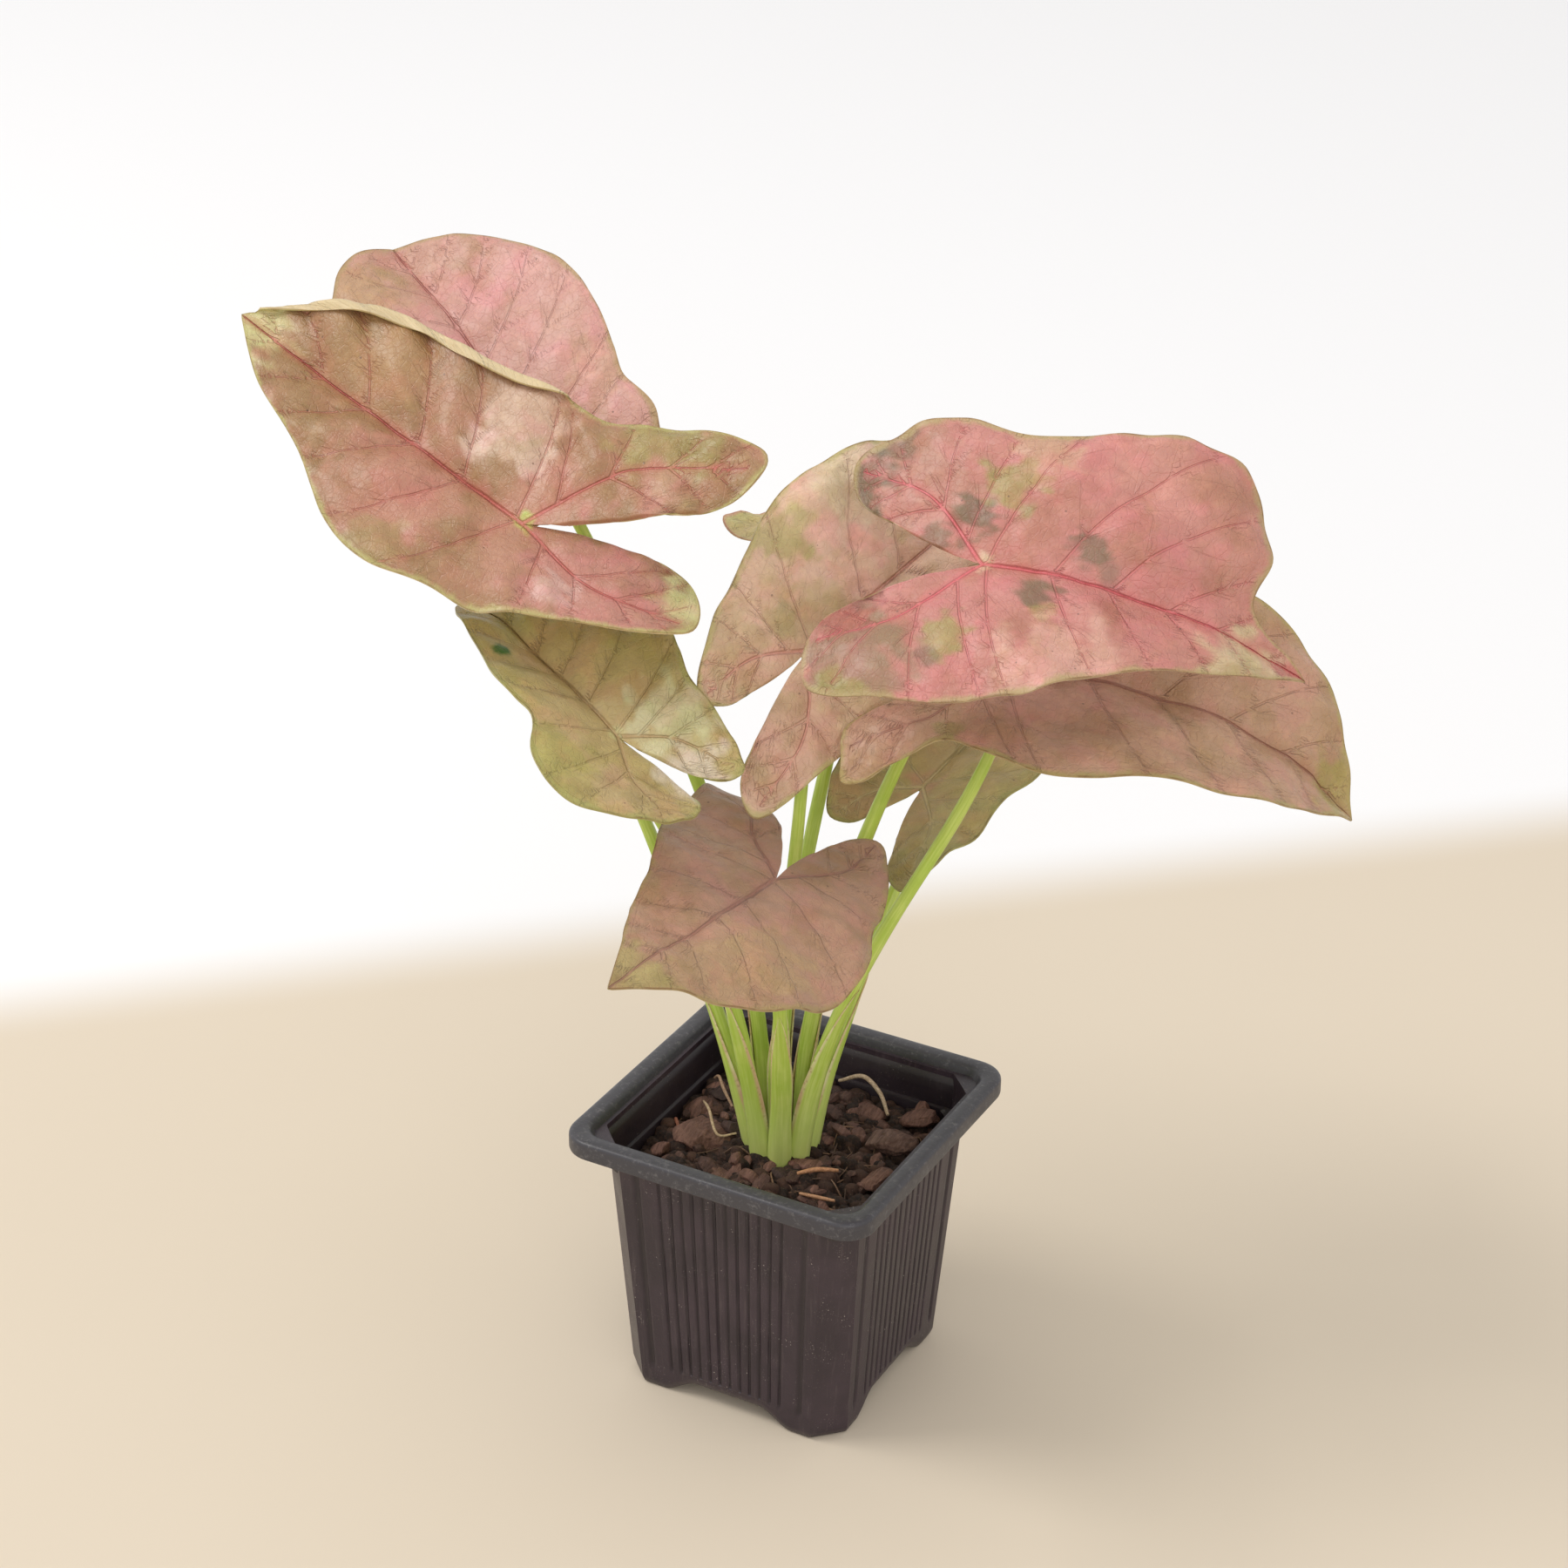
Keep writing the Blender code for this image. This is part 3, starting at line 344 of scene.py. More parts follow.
# How an attribute with so many numbers per point is kept
ATTRIBUTE_KINDS = {1: ("FLOAT", "value"), 3: ("FLOAT_VECTOR", "vector"), 4: ("FLOAT_COLOR", "color")}


def add_piece(name, points, faces, material, replaces=(), values=None, sharp=50.0):
    """One object from points in millimetres, riding on the root body, with values named per point."""
    mesh = bpy.data.meshes.new(name)
    mesh.from_pydata(metres(points).tolist(), [], faces)
    mesh.materials.append(material)
    mesh.shade_smooth()
    mesh.set_sharp_from_angle(angle=math.radians(sharp))
    for key, data in (values or {}).items():
        data = np.asarray(data, np.float32).reshape(len(points), -1)
        kind, field = ATTRIBUTE_KINDS[data.shape[1]]
        mesh.attributes.new(key, kind, "POINT").data.foreach_set(field, data.ravel())
    obj = link_object(name, mesh)
    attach(obj, "root")
    if replaces:
        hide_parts(*replaces)


def grid_faces(rows, columns, wrap_rows=False, wrap_columns=False):
    """Quads between the rows of a grid of points."""
    i = np.arange(rows if wrap_rows else rows - 1)[:, None]
    j = np.arange(columns if wrap_columns else columns - 1)[None, :]
    k = (i + 1) % rows
    n = (j + 1) % columns
    corners = [i * columns + j, i * columns + n, k * columns + n, k * columns + j]
    return np.stack(corners, -1).reshape(-1, 4).tolist()


def ripples(x, y, rng, wavelength):
    """Smooth random relief of about unit height."""
    total = np.zeros(np.broadcast(x, y).shape)
    for _ in range(RIPPLE_WAVES):
        turn = rng.uniform(0, math.tau)
        size = math.tau / (wavelength * rng.uniform(0.7, 1.5))
        total += np.sin((x * math.cos(turn) + y * math.sin(turn)) * size + rng.uniform(0, math.tau))
    return total / math.sqrt(RIPPLE_WAVES)


def within_box(points):
    """Ease points that reach past the solids' box back inside it."""
    high = np.array(cad_high) * 1000 - POT_CENTRE * 1000
    low = np.array(cad_low) * 1000 - POT_CENTRE * 1000
    over = (points - high + BOX_EASE).clip(0.0)
    points = points - over + BOX_EASE * np.tanh(over / BOX_EASE)
    under = (low + BOX_EASE - points).clip(0.0)
    return points + under - BOX_EASE * np.tanh(under / BOX_EASE)


def smooth_step(low, high, value):
    t = np.clip((value - low) / (high - low), 0.0, 1.0)
    return t * t * (3 - 2 * t)


def lengths_along(path):
    """How far along a path each of its points lies."""
    return np.r_[0.0, np.cumsum(np.linalg.norm(np.diff(path, axis=0), axis=1))]


def smooth_curve(points, count):
    """Even steps along a smooth curve through the points (centripetal Catmull-Rom)."""
    points = [np.asarray(p, float) for p in points]
    ends = [2 * points[0] - points[1]] + points + [2 * points[-1] - points[-2]]
    fine = []
    for a, b, c, d in zip(ends, ends[1:], ends[2:], ends[3:]):
        t1 = max(np.linalg.norm(b - a), 1e-6) ** 0.5
        t2 = t1 + max(np.linalg.norm(c - b), 1e-6) ** 0.5
        t3 = t2 + max(np.linalg.norm(d - c), 1e-6) ** 0.5
        t = np.linspace(t1, t2, CURVE_STEPS, endpoint=False)[:, None]
        ab = a * ((t1 - t) / t1) + b * (t / t1)
        bc = b * ((t2 - t) / (t2 - t1)) + c * ((t - t1) / (t2 - t1))
        cd = c * ((t3 - t) / (t3 - t2)) + d * ((t - t2) / (t3 - t2))
        abc = ab * ((t2 - t) / t2) + bc * (t / t2)
        bcd = bc * ((t3 - t) / (t3 - t1)) + cd * ((t - t1) / (t3 - t1))
        fine.append(abc * ((t2 - t) / (t2 - t1)) + bcd * ((t - t1) / (t2 - t1)))
    fine = np.vstack(fine + [points[-1]])
    lengths = lengths_along(fine)
    goals = np.linspace(0, lengths[-1], count + 1)
    return np.stack([np.interp(goals, lengths, fine[:, k]) for k in range(fine.shape[1])], -1)


def path_frames(path):
    """Directions along a path and two directions across it that turn as little as they can."""
    along = np.gradient(path, axis=0)
    along /= np.linalg.norm(along, axis=1)[:, None]
    across = np.zeros_like(path)
    start = np.cross(along[0], (0.0, 1.0, 0.0))
    across[0] = start / np.linalg.norm(start)
    for i in range(1, len(path)):
        v = across[i - 1] - along[i] * np.dot(across[i - 1], along[i])
        across[i] = v / np.linalg.norm(v)
    return along, across, np.cross(along, across)


def rings_round(path, radii, turn, across, other):
    """Rings of points round a path."""
    return path[:, None] + radii[..., None] * (
        np.cos(turn)[..., None] * across[:, None] + np.sin(turn)[..., None] * other[:, None])


def tube(path, radii, sides):
    """Points, closed faces and place along and round a tube whose radius may vary along and round it."""
    _, across, other = path_frames(path)
    turn = np.linspace(0, math.tau, sides, endpoint=False)
    radii = np.broadcast_to(np.asarray(radii, float).reshape(len(path), -1), (len(path), sides))
    rings = rings_round(path, radii, turn[None, :], across, other)
    points = np.vstack([rings.reshape(-1, 3), path[:1], path[-1:]])
    faces = grid_faces(len(path), sides, wrap_columns=True)
    low = len(path) * sides
    for j in range(sides):
        n = (j + 1) % sides
        faces.append((low, n, j))
        faces.append((low + 1, low - sides + j, low - sides + n))
    lengths = lengths_along(path)
    place = np.stack(np.broadcast_arrays(lengths[:, None], turn[None, :]), -1).reshape(-1, 2)
    place = np.vstack([place, [[0.0, 0.0], [lengths[-1], 0.0]]])
    return points, faces, place


class Heap:
    """Gathers small meshes, each in its own colour, into one piece."""

    def __init__(self):
        self.points = []
        self.faces = []
        self.tints = []
        self.count = 0

    def add(self, points, faces, colour):
        self.points.append(points)
        self.faces += [tuple(k + self.count for k in face) for face in faces]
        self.tints.append(np.tile((*colour, 1.0), (len(points), 1)))
        self.count += len(points)

    def piece(self, name, material, sharp):
        add_piece(name, np.vstack(self.points), self.faces, material,
                  values=dict(tint=np.vstack(self.tints)), sharp=sharp)


# Materials

class Shade:
    """A material, the colour that it has so far, and short names for the nodes that make it."""

    def __init__(self, name):
        self.material = bpy.data.materials.new(name)
        self.material.use_nodes = True
        self.tree = self.material.node_tree
        self.shader = self.tree.nodes["Principled BSDF"]
        self.colour = None

    def put(self, value, socket):
        """Link a socket, or set a number, a colour or three numbers."""
        if isinstance(value, bpy.types.NodeSocket):
            self.tree.links.new(value, socket)
        elif socket.type == "RGBA":
            socket.default_value = (*value, 1.0)
        else:
            socket.default_value = value

    def node(self, kind, inputs, output=0, **settings):
        """The output of a new node, whose inputs are given by place or name."""
        node = self.tree.nodes.new("ShaderNode" + kind)
        for key, value in settings.items():
            setattr(node, key, value)
        for key, value in inputs.items():
            self.put(value, node.inputs[key])
        return node.outputs[output]

    def times(self, *factors):
        return reduce(lambda a, b: self.node("Math", {0: a, 1: b}, operation="MULTIPLY"), factors)

    def plus(self, *terms):
        return reduce(lambda a, b: self.node("Math", {0: a, 1: b}, operation="ADD"), terms)

    def mix(self, factor, a, b, blend="MIX"):
        return self.node("Mix", {0: factor, 6: a, 7: b}, 2, data_type="RGBA", blend_type=blend)

    def over(self, factor, colour):
        """Lay a colour over the one so far."""
        self.colour = self.mix(factor, self.colour, colour)

    def tinted(self, *factors):
        """The colour so far, times three factors."""
        return self.mix(1.0, self.colour, factors, "MULTIPLY")

    def step(self, value, low, high, to_low=0.0, to_high=1.0):
        """Smooth step from low to high."""
        inputs = dict(enumerate((value, low, high, to_low, to_high)))
        return self.node("MapRange", inputs, interpolation_type="SMOOTHSTEP")

    def value(self, name, output="Fac"):
        return self.node("Attribute", {}, output, attribute_name=name)

    def place(self, scale=(1000.0, 1000.0, 1000.0), turn=(0.0, 0.0, 0.0)):
        """Coordinates in millimetres, stretched by scale / 1000."""
        where = self.node("TexCoord", {}, "Object")
        return self.node("Mapping", {"Vector": where, "Scale": scale, "Rotation": turn})

    def noise(self, where, scale, detail=3.0, roughness=0.55):
        inputs = {"Vector": where, "Scale": scale, "Detail": detail, "Roughness": roughness}
        return self.node("TexNoise", inputs)

    def cells(self, where, scale, feature="F1"):
        return self.node("TexVoronoi", {"Vector": where, "Scale": scale}, "Distance", feature=feature)

    def finish(self, roughness, height=None, strength=0.0, distance=0.0, **inputs):
        """Set the shader's inputs, with a bump of some strength and distance where a height is given."""
        inputs.update(Base_Color=self.colour, Roughness=roughness)
        if height is not None:
            bump = {"Strength": strength, "Distance": distance, "Height": height}
            inputs["Normal"] = self.node("Bump", bump)
        for key, value in inputs.items():
            self.put(value, self.shader.inputs[key.replace("_", " ")])
        return self.material


def leaf_material(name, look, seed):
    """Mottled skin with sunken veins, a fine net, a thin margin and a duller lower face."""
    s = Shade(name + "_skin")
    shift = (seed * 37.0, seed * 11.0, seed * 5.0)
    where = s.node("Mapping", {"Vector": s.value("flat", "Vector"), "Location": shift})
    near = s.step(s.value("vein_gap"), 1.6, 0.8)
    across = s.node("Math", {0: s.value("vein_side")}, operation="ABSOLUTE")
    line = s.times(s.step(across, 1.5, 0.4), near)
    beside = s.step(s.value("vein_gap"), 2.4, 0.0)
    weight, ink, under, rim = (s.value(key) for key in ("vein_weight", "vein_ink", "under", "rim"))

    s.colour = s.value("tint", "Color")
    s.over(s.step(s.noise(where, 0.07, 4.0, 0.6), 0.44, 0.66, 0.0, 0.8), s.tinted(0.78, 0.80, 0.62))
    s.over(s.step(s.noise(where, 0.12), 0.45, 0.65, 0.0, 0.8), s.tinted(1.10, 0.94, 1.06))
    mottled = s.noise(where, 0.34, 5.0, 0.7)
    s.over(s.step(mottled, 0.42, 0.7), s.tinted(1.12, 1.15, 1.12))
    net = s.step(s.cells(where, 0.5, "DISTANCE_TO_EDGE"), 0.09, 0.0)
    s.over(s.times(net, 0.05), look["vein"])
    s.over(s.times(beside, ink, 0.40), look["vein"])
    s.over(s.times(line, ink, 0.85), look["vein"])
    s.over(s.times(s.step(s.cells(where, 0.16), 0.055, 0.03), 0.6), (0.10, 0.05, 0.03))
    frayed = s.plus(rim, s.times(s.noise(where, 0.12, 3.0, 0.7), 5.0))
    s.over(s.step(frayed, 4.4, 2.4, 0.0, 0.85), look["edge"])
    browned = s.step(s.noise(where, 0.2, 2.0), 0.40, 0.60, 0.1, 0.9)
    dark_edge = s.mix(1.0, look["edge"], (0.62, 0.46, 0.42), "MULTIPLY")
    s.over(s.times(s.step(rim, 0.5, 0.2), browned), dark_edge)
    below = s.mix(s.times(line, weight), look["under"], s.mix(0.5, look["under"], (0.62, 0.56, 0.34)))
    below = s.mix(s.step(mottled, 0.4, 0.7, 0.0, 0.4), below, s.mix(0.4, below, (0.30, 0.24, 0.12)))
    s.over(under, below)

    rough = s.step(mottled, 0.3, 0.75, look["gloss"] - 0.05, look["gloss"] + 0.12)
    height = s.plus(s.times(line, weight, -0.8), s.times(net, -0.12), s.times(mottled, 0.9),
                    s.times(s.noise(where, 1.8), 0.2))
    return s.finish(s.plus(rough, s.times(under, 0.2)), height, 0.8, 0.0007, Specular_IOR_Level=0.5,
                    Coat_Weight=0.15, Coat_Roughness=0.25, Subsurface_Weight=0.05,
                    Subsurface_Scale=0.0010, Subsurface_Radius=(1.0, 0.55, 0.25))


def stalk_material():
    """Light green skin with fine lengthwise lines, paler and speckled at the edges of the sheaths."""
    s = Shade("stalk_skin")
    joined = s.node("CombineXYZ", {0: s.times(s.value("round"), 1.6), 1: s.times(s.value("along"), 0.03),
                                   2: s.value("lot")})
    lines = s.noise(joined, 2.6, 3.0, 0.6)
    where = s.place()
    blotch = s.noise(where, 0.10)
    s.colour = s.mix(s.step(lines, 0.35, 0.68), (0.42, 0.55, 0.08), (0.56, 0.66, 0.17))
    s.over(s.step(blotch, 0.40, 0.66, 0.0, 0.5), (0.34, 0.50, 0.05))
    s.over(s.times(s.step(s.value("height"), 84.0, 60.0), 0.6), (0.66, 0.74, 0.24))
    pale = s.mix(s.step(lines, 0.35, 0.6), (0.66, 0.52, 0.30), (0.70, 0.66, 0.36))
    pink = s.step(s.noise(where, 0.09, 2.0), 0.42, 0.60)
    pale = s.mix(s.times(pink, 0.7), pale, (0.62, 0.30, 0.24))
    dots = s.step(s.cells(where, 0.8), 0.40, 0.20)
    pale = s.mix(s.times(dots, 0.5), pale, (0.40, 0.20, 0.14))
    s.over(s.step(s.value("flap"), 0.35, 0.95, 0.0, 0.9), pale)
    s.over(s.value("top"), (0.44, 0.42, 0.12))
    height = s.plus(lines, s.times(s.noise(where, 1.4, 2.0), 0.25))
    return s.finish(s.step(blotch, 0.3, 0.7, 0.34, 0.46), height, 0.25, 0.0003, Specular_IOR_Level=0.45,
                    Subsurface_Weight=0.15, Subsurface_Scale=0.002, Subsurface_Radius=(0.8, 1.0, 0.3))


def plastic_material():
    """Dark moulded plastic, dusty and streaked with lime on its faces, worn paler along the rim, with
    painted shade in its grooves and over its inside.
    """
    s = Shade("pot_plastic")
    where = s.place()
    cloud = s.noise(where, 0.06, 4.0, 0.6)
    s.colour = s.mix(s.step(cloud, 0.35, 0.7), (0.024, 0.015, 0.022), (0.042, 0.026, 0.036))
    streaks = s.noise(s.place((1100.0, 1100.0, 45.0)), 0.9, 4.0, 0.65)
    s.over(s.step(streaks, 0.52, 0.78, 0.0, 0.5), (0.090, 0.068, 0.070))
    spread = s.step(s.noise(where, 0.16, 2.0), 0.45, 0.7)
    grains = s.step(s.cells(where, 0.8), 0.14, 0.05)
    dust = s.step(s.cells(where, 1.7), 0.26, 0.10)
    lime = s.step(s.noise(s.place((1500.0, 1500.0, 110.0)), 1.3, 3.0, 0.7), 0.66, 0.74)
    s.over(s.times(grains, spread, 0.9), (0.50, 0.45, 0.40))
    s.over(s.times(dust, spread, 0.5), (0.26, 0.22, 0.21))
    s.over(s.times(lime, spread, 0.5), (0.34, 0.30, 0.28))
    scuffs = s.step(s.noise(where, 0.7, 5.0, 0.75), 0.50, 0.74)
    s.over(s.value("lip"), s.mix(scuffs, (0.044, 0.042, 0.050), (0.12, 0.115, 0.12)))
    # Painted shade: the grooves, and the whole inside of the pot below the rim, are darkened towards near
    # black
    s.over(s.times(s.value("groove"), 0.55), (0.010, 0.007, 0.009))
    s.over(s.value("foot"), (0.060, 0.048, 0.046))
    height = s.plus(s.noise(where, 1.2, 4.0, 0.7), s.times(grains, 0.6))
    return s.finish(s.step(cloud, 0.3, 0.75, 0.34, 0.50), height, 0.25, 0.0002, Specular_IOR_Level=0.5)


def soil_material():
    """Dark, moist peat with browner crumbs and pale threads."""
    s = Shade("potting_mix")
    where = s.place()
    grain = s.noise(where, 1.3, 5.0, 0.75)
    s.colour = s.mix(s.value("tone"), (0.020, 0.011, 0.008), (0.105, 0.052, 0.034))
    s.over(s.step(grain, 0.45, 0.75, 0.0, 0.7), (0.150, 0.080, 0.052))
    threads = s.step(s.noise(s.place((3000.0, 400.0, 900.0), (0.3, 0.2, 0.8)), 0.5), 0.66, 0.74)
    s.over(s.times(threads, 0.35), (0.17, 0.10, 0.06))
    s.over(s.times(s.step(s.cells(where, 0.75), 0.10, 0.05), 0.5), (0.30, 0.24, 0.19))
    height = s.plus(grain, s.times(s.noise(where, 4.0), 0.4))
    return s.finish(s.step(grain, 0.3, 0.8, 0.62, 0.9), height, 0.9, 0.0012, Specular_IOR_Level=0.35)


def bark_material():
    """Reddish-brown bark with a fibrous grain and pale flecks of painted highlight."""
    s = Shade("bark")
    where = s.place()
    tint = s.value("tint", "Color")
    grain = s.noise(s.place((2600.0, 500.0, 1500.0), (0.4, 0.3, 0.7)), 0.45, 5.0, 0.7)
    s.colour = s.mix(s.step(grain, 0.35, 0.7), s.mix(1.0, tint, (0.45, 0.40, 0.38), "MULTIPLY"), tint)
    # Painted highlight: pale flecks scattered over the bark stand for glints
    painted_glints = s.step(s.noise(where, 1.1, 4.0, 0.8), 0.60, 0.74)
    s.over(s.times(painted_glints, 0.35), s.mix(0.5, tint, (0.42, 0.32, 0.25)))
    height = s.plus(grain, s.times(s.noise(where, 2.0, 4.0, 0.7), 0.5))
    return s.finish(0.62, height, 0.8, 0.0008, Specular_IOR_Level=0.4)


def fibre_material():
    """Dry roots, straw and splinters, each in its own tint."""
    s = Shade("fibres")
    tint = s.value("tint", "Color")
    grain = s.noise(s.place(), 1.8, 4.0, 0.7)
    s.colour = s.mix(s.step(grain, 0.4, 0.7), s.mix(1.0, tint, (0.6, 0.55, 0.5), "MULTIPLY"), tint)
    return s.finish(0.6, grain, 0.5, 0.0004)


def crown_material():
    """Pale green stem tissue, hidden under the soil."""
    s = Shade("crown_tissue")
    rings = s.noise(s.place((1000.0, 1000.0, 4000.0)), 0.3)
    s.colour = s.mix(s.step(rings, 0.35, 0.7), (0.26, 0.28, 0.10), (0.40, 0.38, 0.18))
    return s.finish(0.6, rings, 0.4, 0.0006)


# Leaves

def toward(heading):
    """Direction on the flat leaf at a heading from +Y."""
    return np.array([math.sin(heading), math.cos(heading)])


def heading_of(x, y):
    return math.atan2(x, y)


def of_half(leaf, side):
    """Reaches of the margin, and reach and angle of the basal lobe, on one side of the midrib."""
    return (leaf["right"], *leaf["lobe_right"]) if side > 0 else (leaf["left"], *leaf["lobe_left"])


def half_outline(leaf, side, count, sinus):
    """Margin of one half of the flat blade, from the tip round the lobe to the joint."""
    reaches, lobe, lobe_angle = of_half(leaf, side)
    stations = [(0, leaf["tip"])] + list(zip(MARGIN_ANGLES, reaches)) + [(lobe_angle, lobe)]
    stations += [(lobe_angle + past, share * lobe) for past, share in zip(sinus, LOBE_SHARES)]
    return smooth_curve([reach * toward(math.radians(a)) * (side, 1) for a, reach in stations], count)


def arc(length, start, rate):
    """Run and rise of an arc that starts at an angle and turns down at a rate."""
    rate = np.where(np.abs(rate) < 1e-6, 1e-6, rate)
    end = start - rate * length
    return (np.sin(start) - np.sin(end)) / rate, (np.cos(end) - np.cos(start)) / rate


def bend(leaf, side, x, y, lift):
    """Take points of the flat blade to their places on the folded, curled and drooping leaf."""
    right = side > 0
    curl = np.where(right, leaf["curl"][1], leaf["curl"][0])
    run, rise = arc(side * x, math.radians(leaf["fold"]), np.radians(curl) / BEND_WIDTH)
    rise = rise + lift
    hang = np.where(right, leaf["hang"][1], leaf["hang"][0]) / BEND_LOBE
    rate = np.radians(np.where(y > 0, leaf["droop"] / BEND_LENGTH, hang))
    along, drop = arc(np.abs(y), 0.0, rate)
    angle = rate * np.abs(y)
    along = along + rise * np.sin(angle)
    return np.stack(np.broadcast_arrays(side * run, np.sign(y) * along, drop + rise * np.cos(angle)), -1)


def turned(leaf):
    """Matrix of a leaf: +Y is its midrib, +Z its upper face."""
    heading, pitch, roll = np.radians(leaf["turn"])
    about_x, about_y, about_z = axis_turns(pitch, roll, heading)
    return about_z @ about_x @ about_y


def wave_lift(leaf, ring, share):
    """Height of the broad waves along the margin."""
    height, count, phase = leaf["wave"]
    grow = np.clip((ring - WAVE_START) / (1 - WAVE_START), 0.0, None)
    fade = np.sin(np.pi * np.minimum(1.0, share * 1.1)) ** 0.5
    return height * grow ** 1.5 * fade * np.sin(math.tau * count * share + phase)


def vein(start, heading, turn_rate, reach_at, limit, longest=200.0):
    """A vein that leaves a point at a heading from +Y and turns steadily until it nears the margin."""
    path = [np.array(start, float)]
    while len(path) * VEIN_STEP < longest:
        path.append(path[-1] + VEIN_STEP * toward(heading))
        heading += turn_rate * VEIN_STEP
        if math.hypot(*path[-1]) > limit * reach_at(heading_of(*path[-1])):
            break
    return np.array(path)


def half_veins(leaf, side, outline, rng):
    """Veins of one half, laid out as if it were the right one: path, half widths and weight."""
    right = outline * (side, 1.0)
    angles = np.arctan2(right[:, 0], right[:, 1])
    angles = np.where(angles < -0.5, angles + math.tau, angles)
    reaches = np.hypot(right[:, 0], right[:, 1])

    def reach_at(angle):
        return np.interp(angle if angle > -0.5 else angle + math.tau, angles, reaches)

    tip = leaf["tip"]
    _, lobe, lobe_angle = of_half(leaf, side)
    lobe_turn = math.radians(lobe_angle)
    middle = 0.5 * lobe * toward(lobe_turn - 0.22)
    basal = smooth_curve([(0, 0), middle, 0.93 * lobe * toward(lobe_turn)], BASAL_STEPS)
    veins = [(np.array([[0.0, -0.5], [0.0, tip * 0.5], [0.0, tip * 0.995]]), (0.62, 0.16), 1.0),
             (basal, (0.50, 0.14), 0.95)]
    main = []
    for k in range(6):
        share = k / 5
        start = (0.0, tip * (0.02 + 0.84 * share ** 0.95 + rng.uniform(-0.01, 0.01)))
        heading = math.radians(74 - 34 * share + rng.uniform(-3, 3))
        main.append(vein(start, heading, -0.009 - 0.006 * share, reach_at, 0.955))
    for share, away in ((0.2, 52), (0.45, 48), (0.7, 42), (0.86, 34)):
        i = int(share * BASAL_STEPS)
        heading = heading_of(*(basal[i + 1] - basal[i]))
        main.append(vein(basal[i], heading - math.radians(away), -0.006, reach_at, 0.955))
        if share > 0.3:
            main.append(vein(basal[i], heading + math.radians(away), 0.012, reach_at, 0.95))
    for path in main:
        veins.append((path, (0.34, 0.12), 0.8))
        length = VEIN_STEP * len(path)
        for share in (0.25, 0.5, 0.75):
            i = min(len(path) - 2, int(share * len(path)))
            direction = path[i + 1] - path[i]
            heading = heading_of(*direction)
            for away in (-42, 42):
                start = path[i] + direction * rng.uniform(-1, 1)
                fork = vein(start, heading + math.radians(away + rng.uniform(-8, 8)),
                            -0.02 if away > 0 else 0.02, reach_at, 0.965, max(4.0, 0.28 * length))
                if len(fork) > 2:
                    veins.append((fork, (0.15, 0.06), 0.2))
    collar = outline[4:-6] * (side * 0.945, 0.945)
    veins.append((collar, (0.14, 0.10), 0.15))
    return [(path * (side, 1.0), width, weight) for path, width, weight in veins]


def vein_fields(points, veins):
    """For flat points: signed distance to the nearest vein in its own widths, plain distance and weight."""
    best = np.full(len(points), 1e9)
    side = np.zeros(len(points))
    gap = np.zeros(len(points))
    weight = np.zeros(len(points))
    strong = np.full(len(points), 1e9)
    for path, (first, last), importance in veins:
        a = path[:-1]
        d = np.diff(path, axis=0)
        rel = points[:, None] - a[None]
        t = np.clip((rel * d).sum(-1) / (d * d).sum(-1), 0.0, 1.0)
        off = rel - t[..., None] * d
        dist = np.hypot(off[..., 0], off[..., 1])
        width = first + (last - first) * (np.arange(len(a)) + t) / len(a)
        ratio = dist / width
        k = ratio.argmin(1)
        rows = np.arange(len(points))
        closest = ratio[rows, k]
        turn = d[k, 0] * off[rows, k, 1] - d[k, 1] * off[rows, k, 0]
        nearer = closest < best
        best = np.where(nearer, closest, best)
        side = np.where(nearer, closest * np.sign(turn), side)
        gap = np.where(nearer, dist[rows, k], gap)
        weight = np.where(nearer, importance, weight)
        if importance > 0.5:
            strong = np.minimum(strong, dist.min(1))
    return side, gap, weight, strong


def margin_ripples(share, rng, wavelength):
    """Random waves along a half margin."""
    return ripples(share * MARGIN_SPAN, share * 0, rng, wavelength)


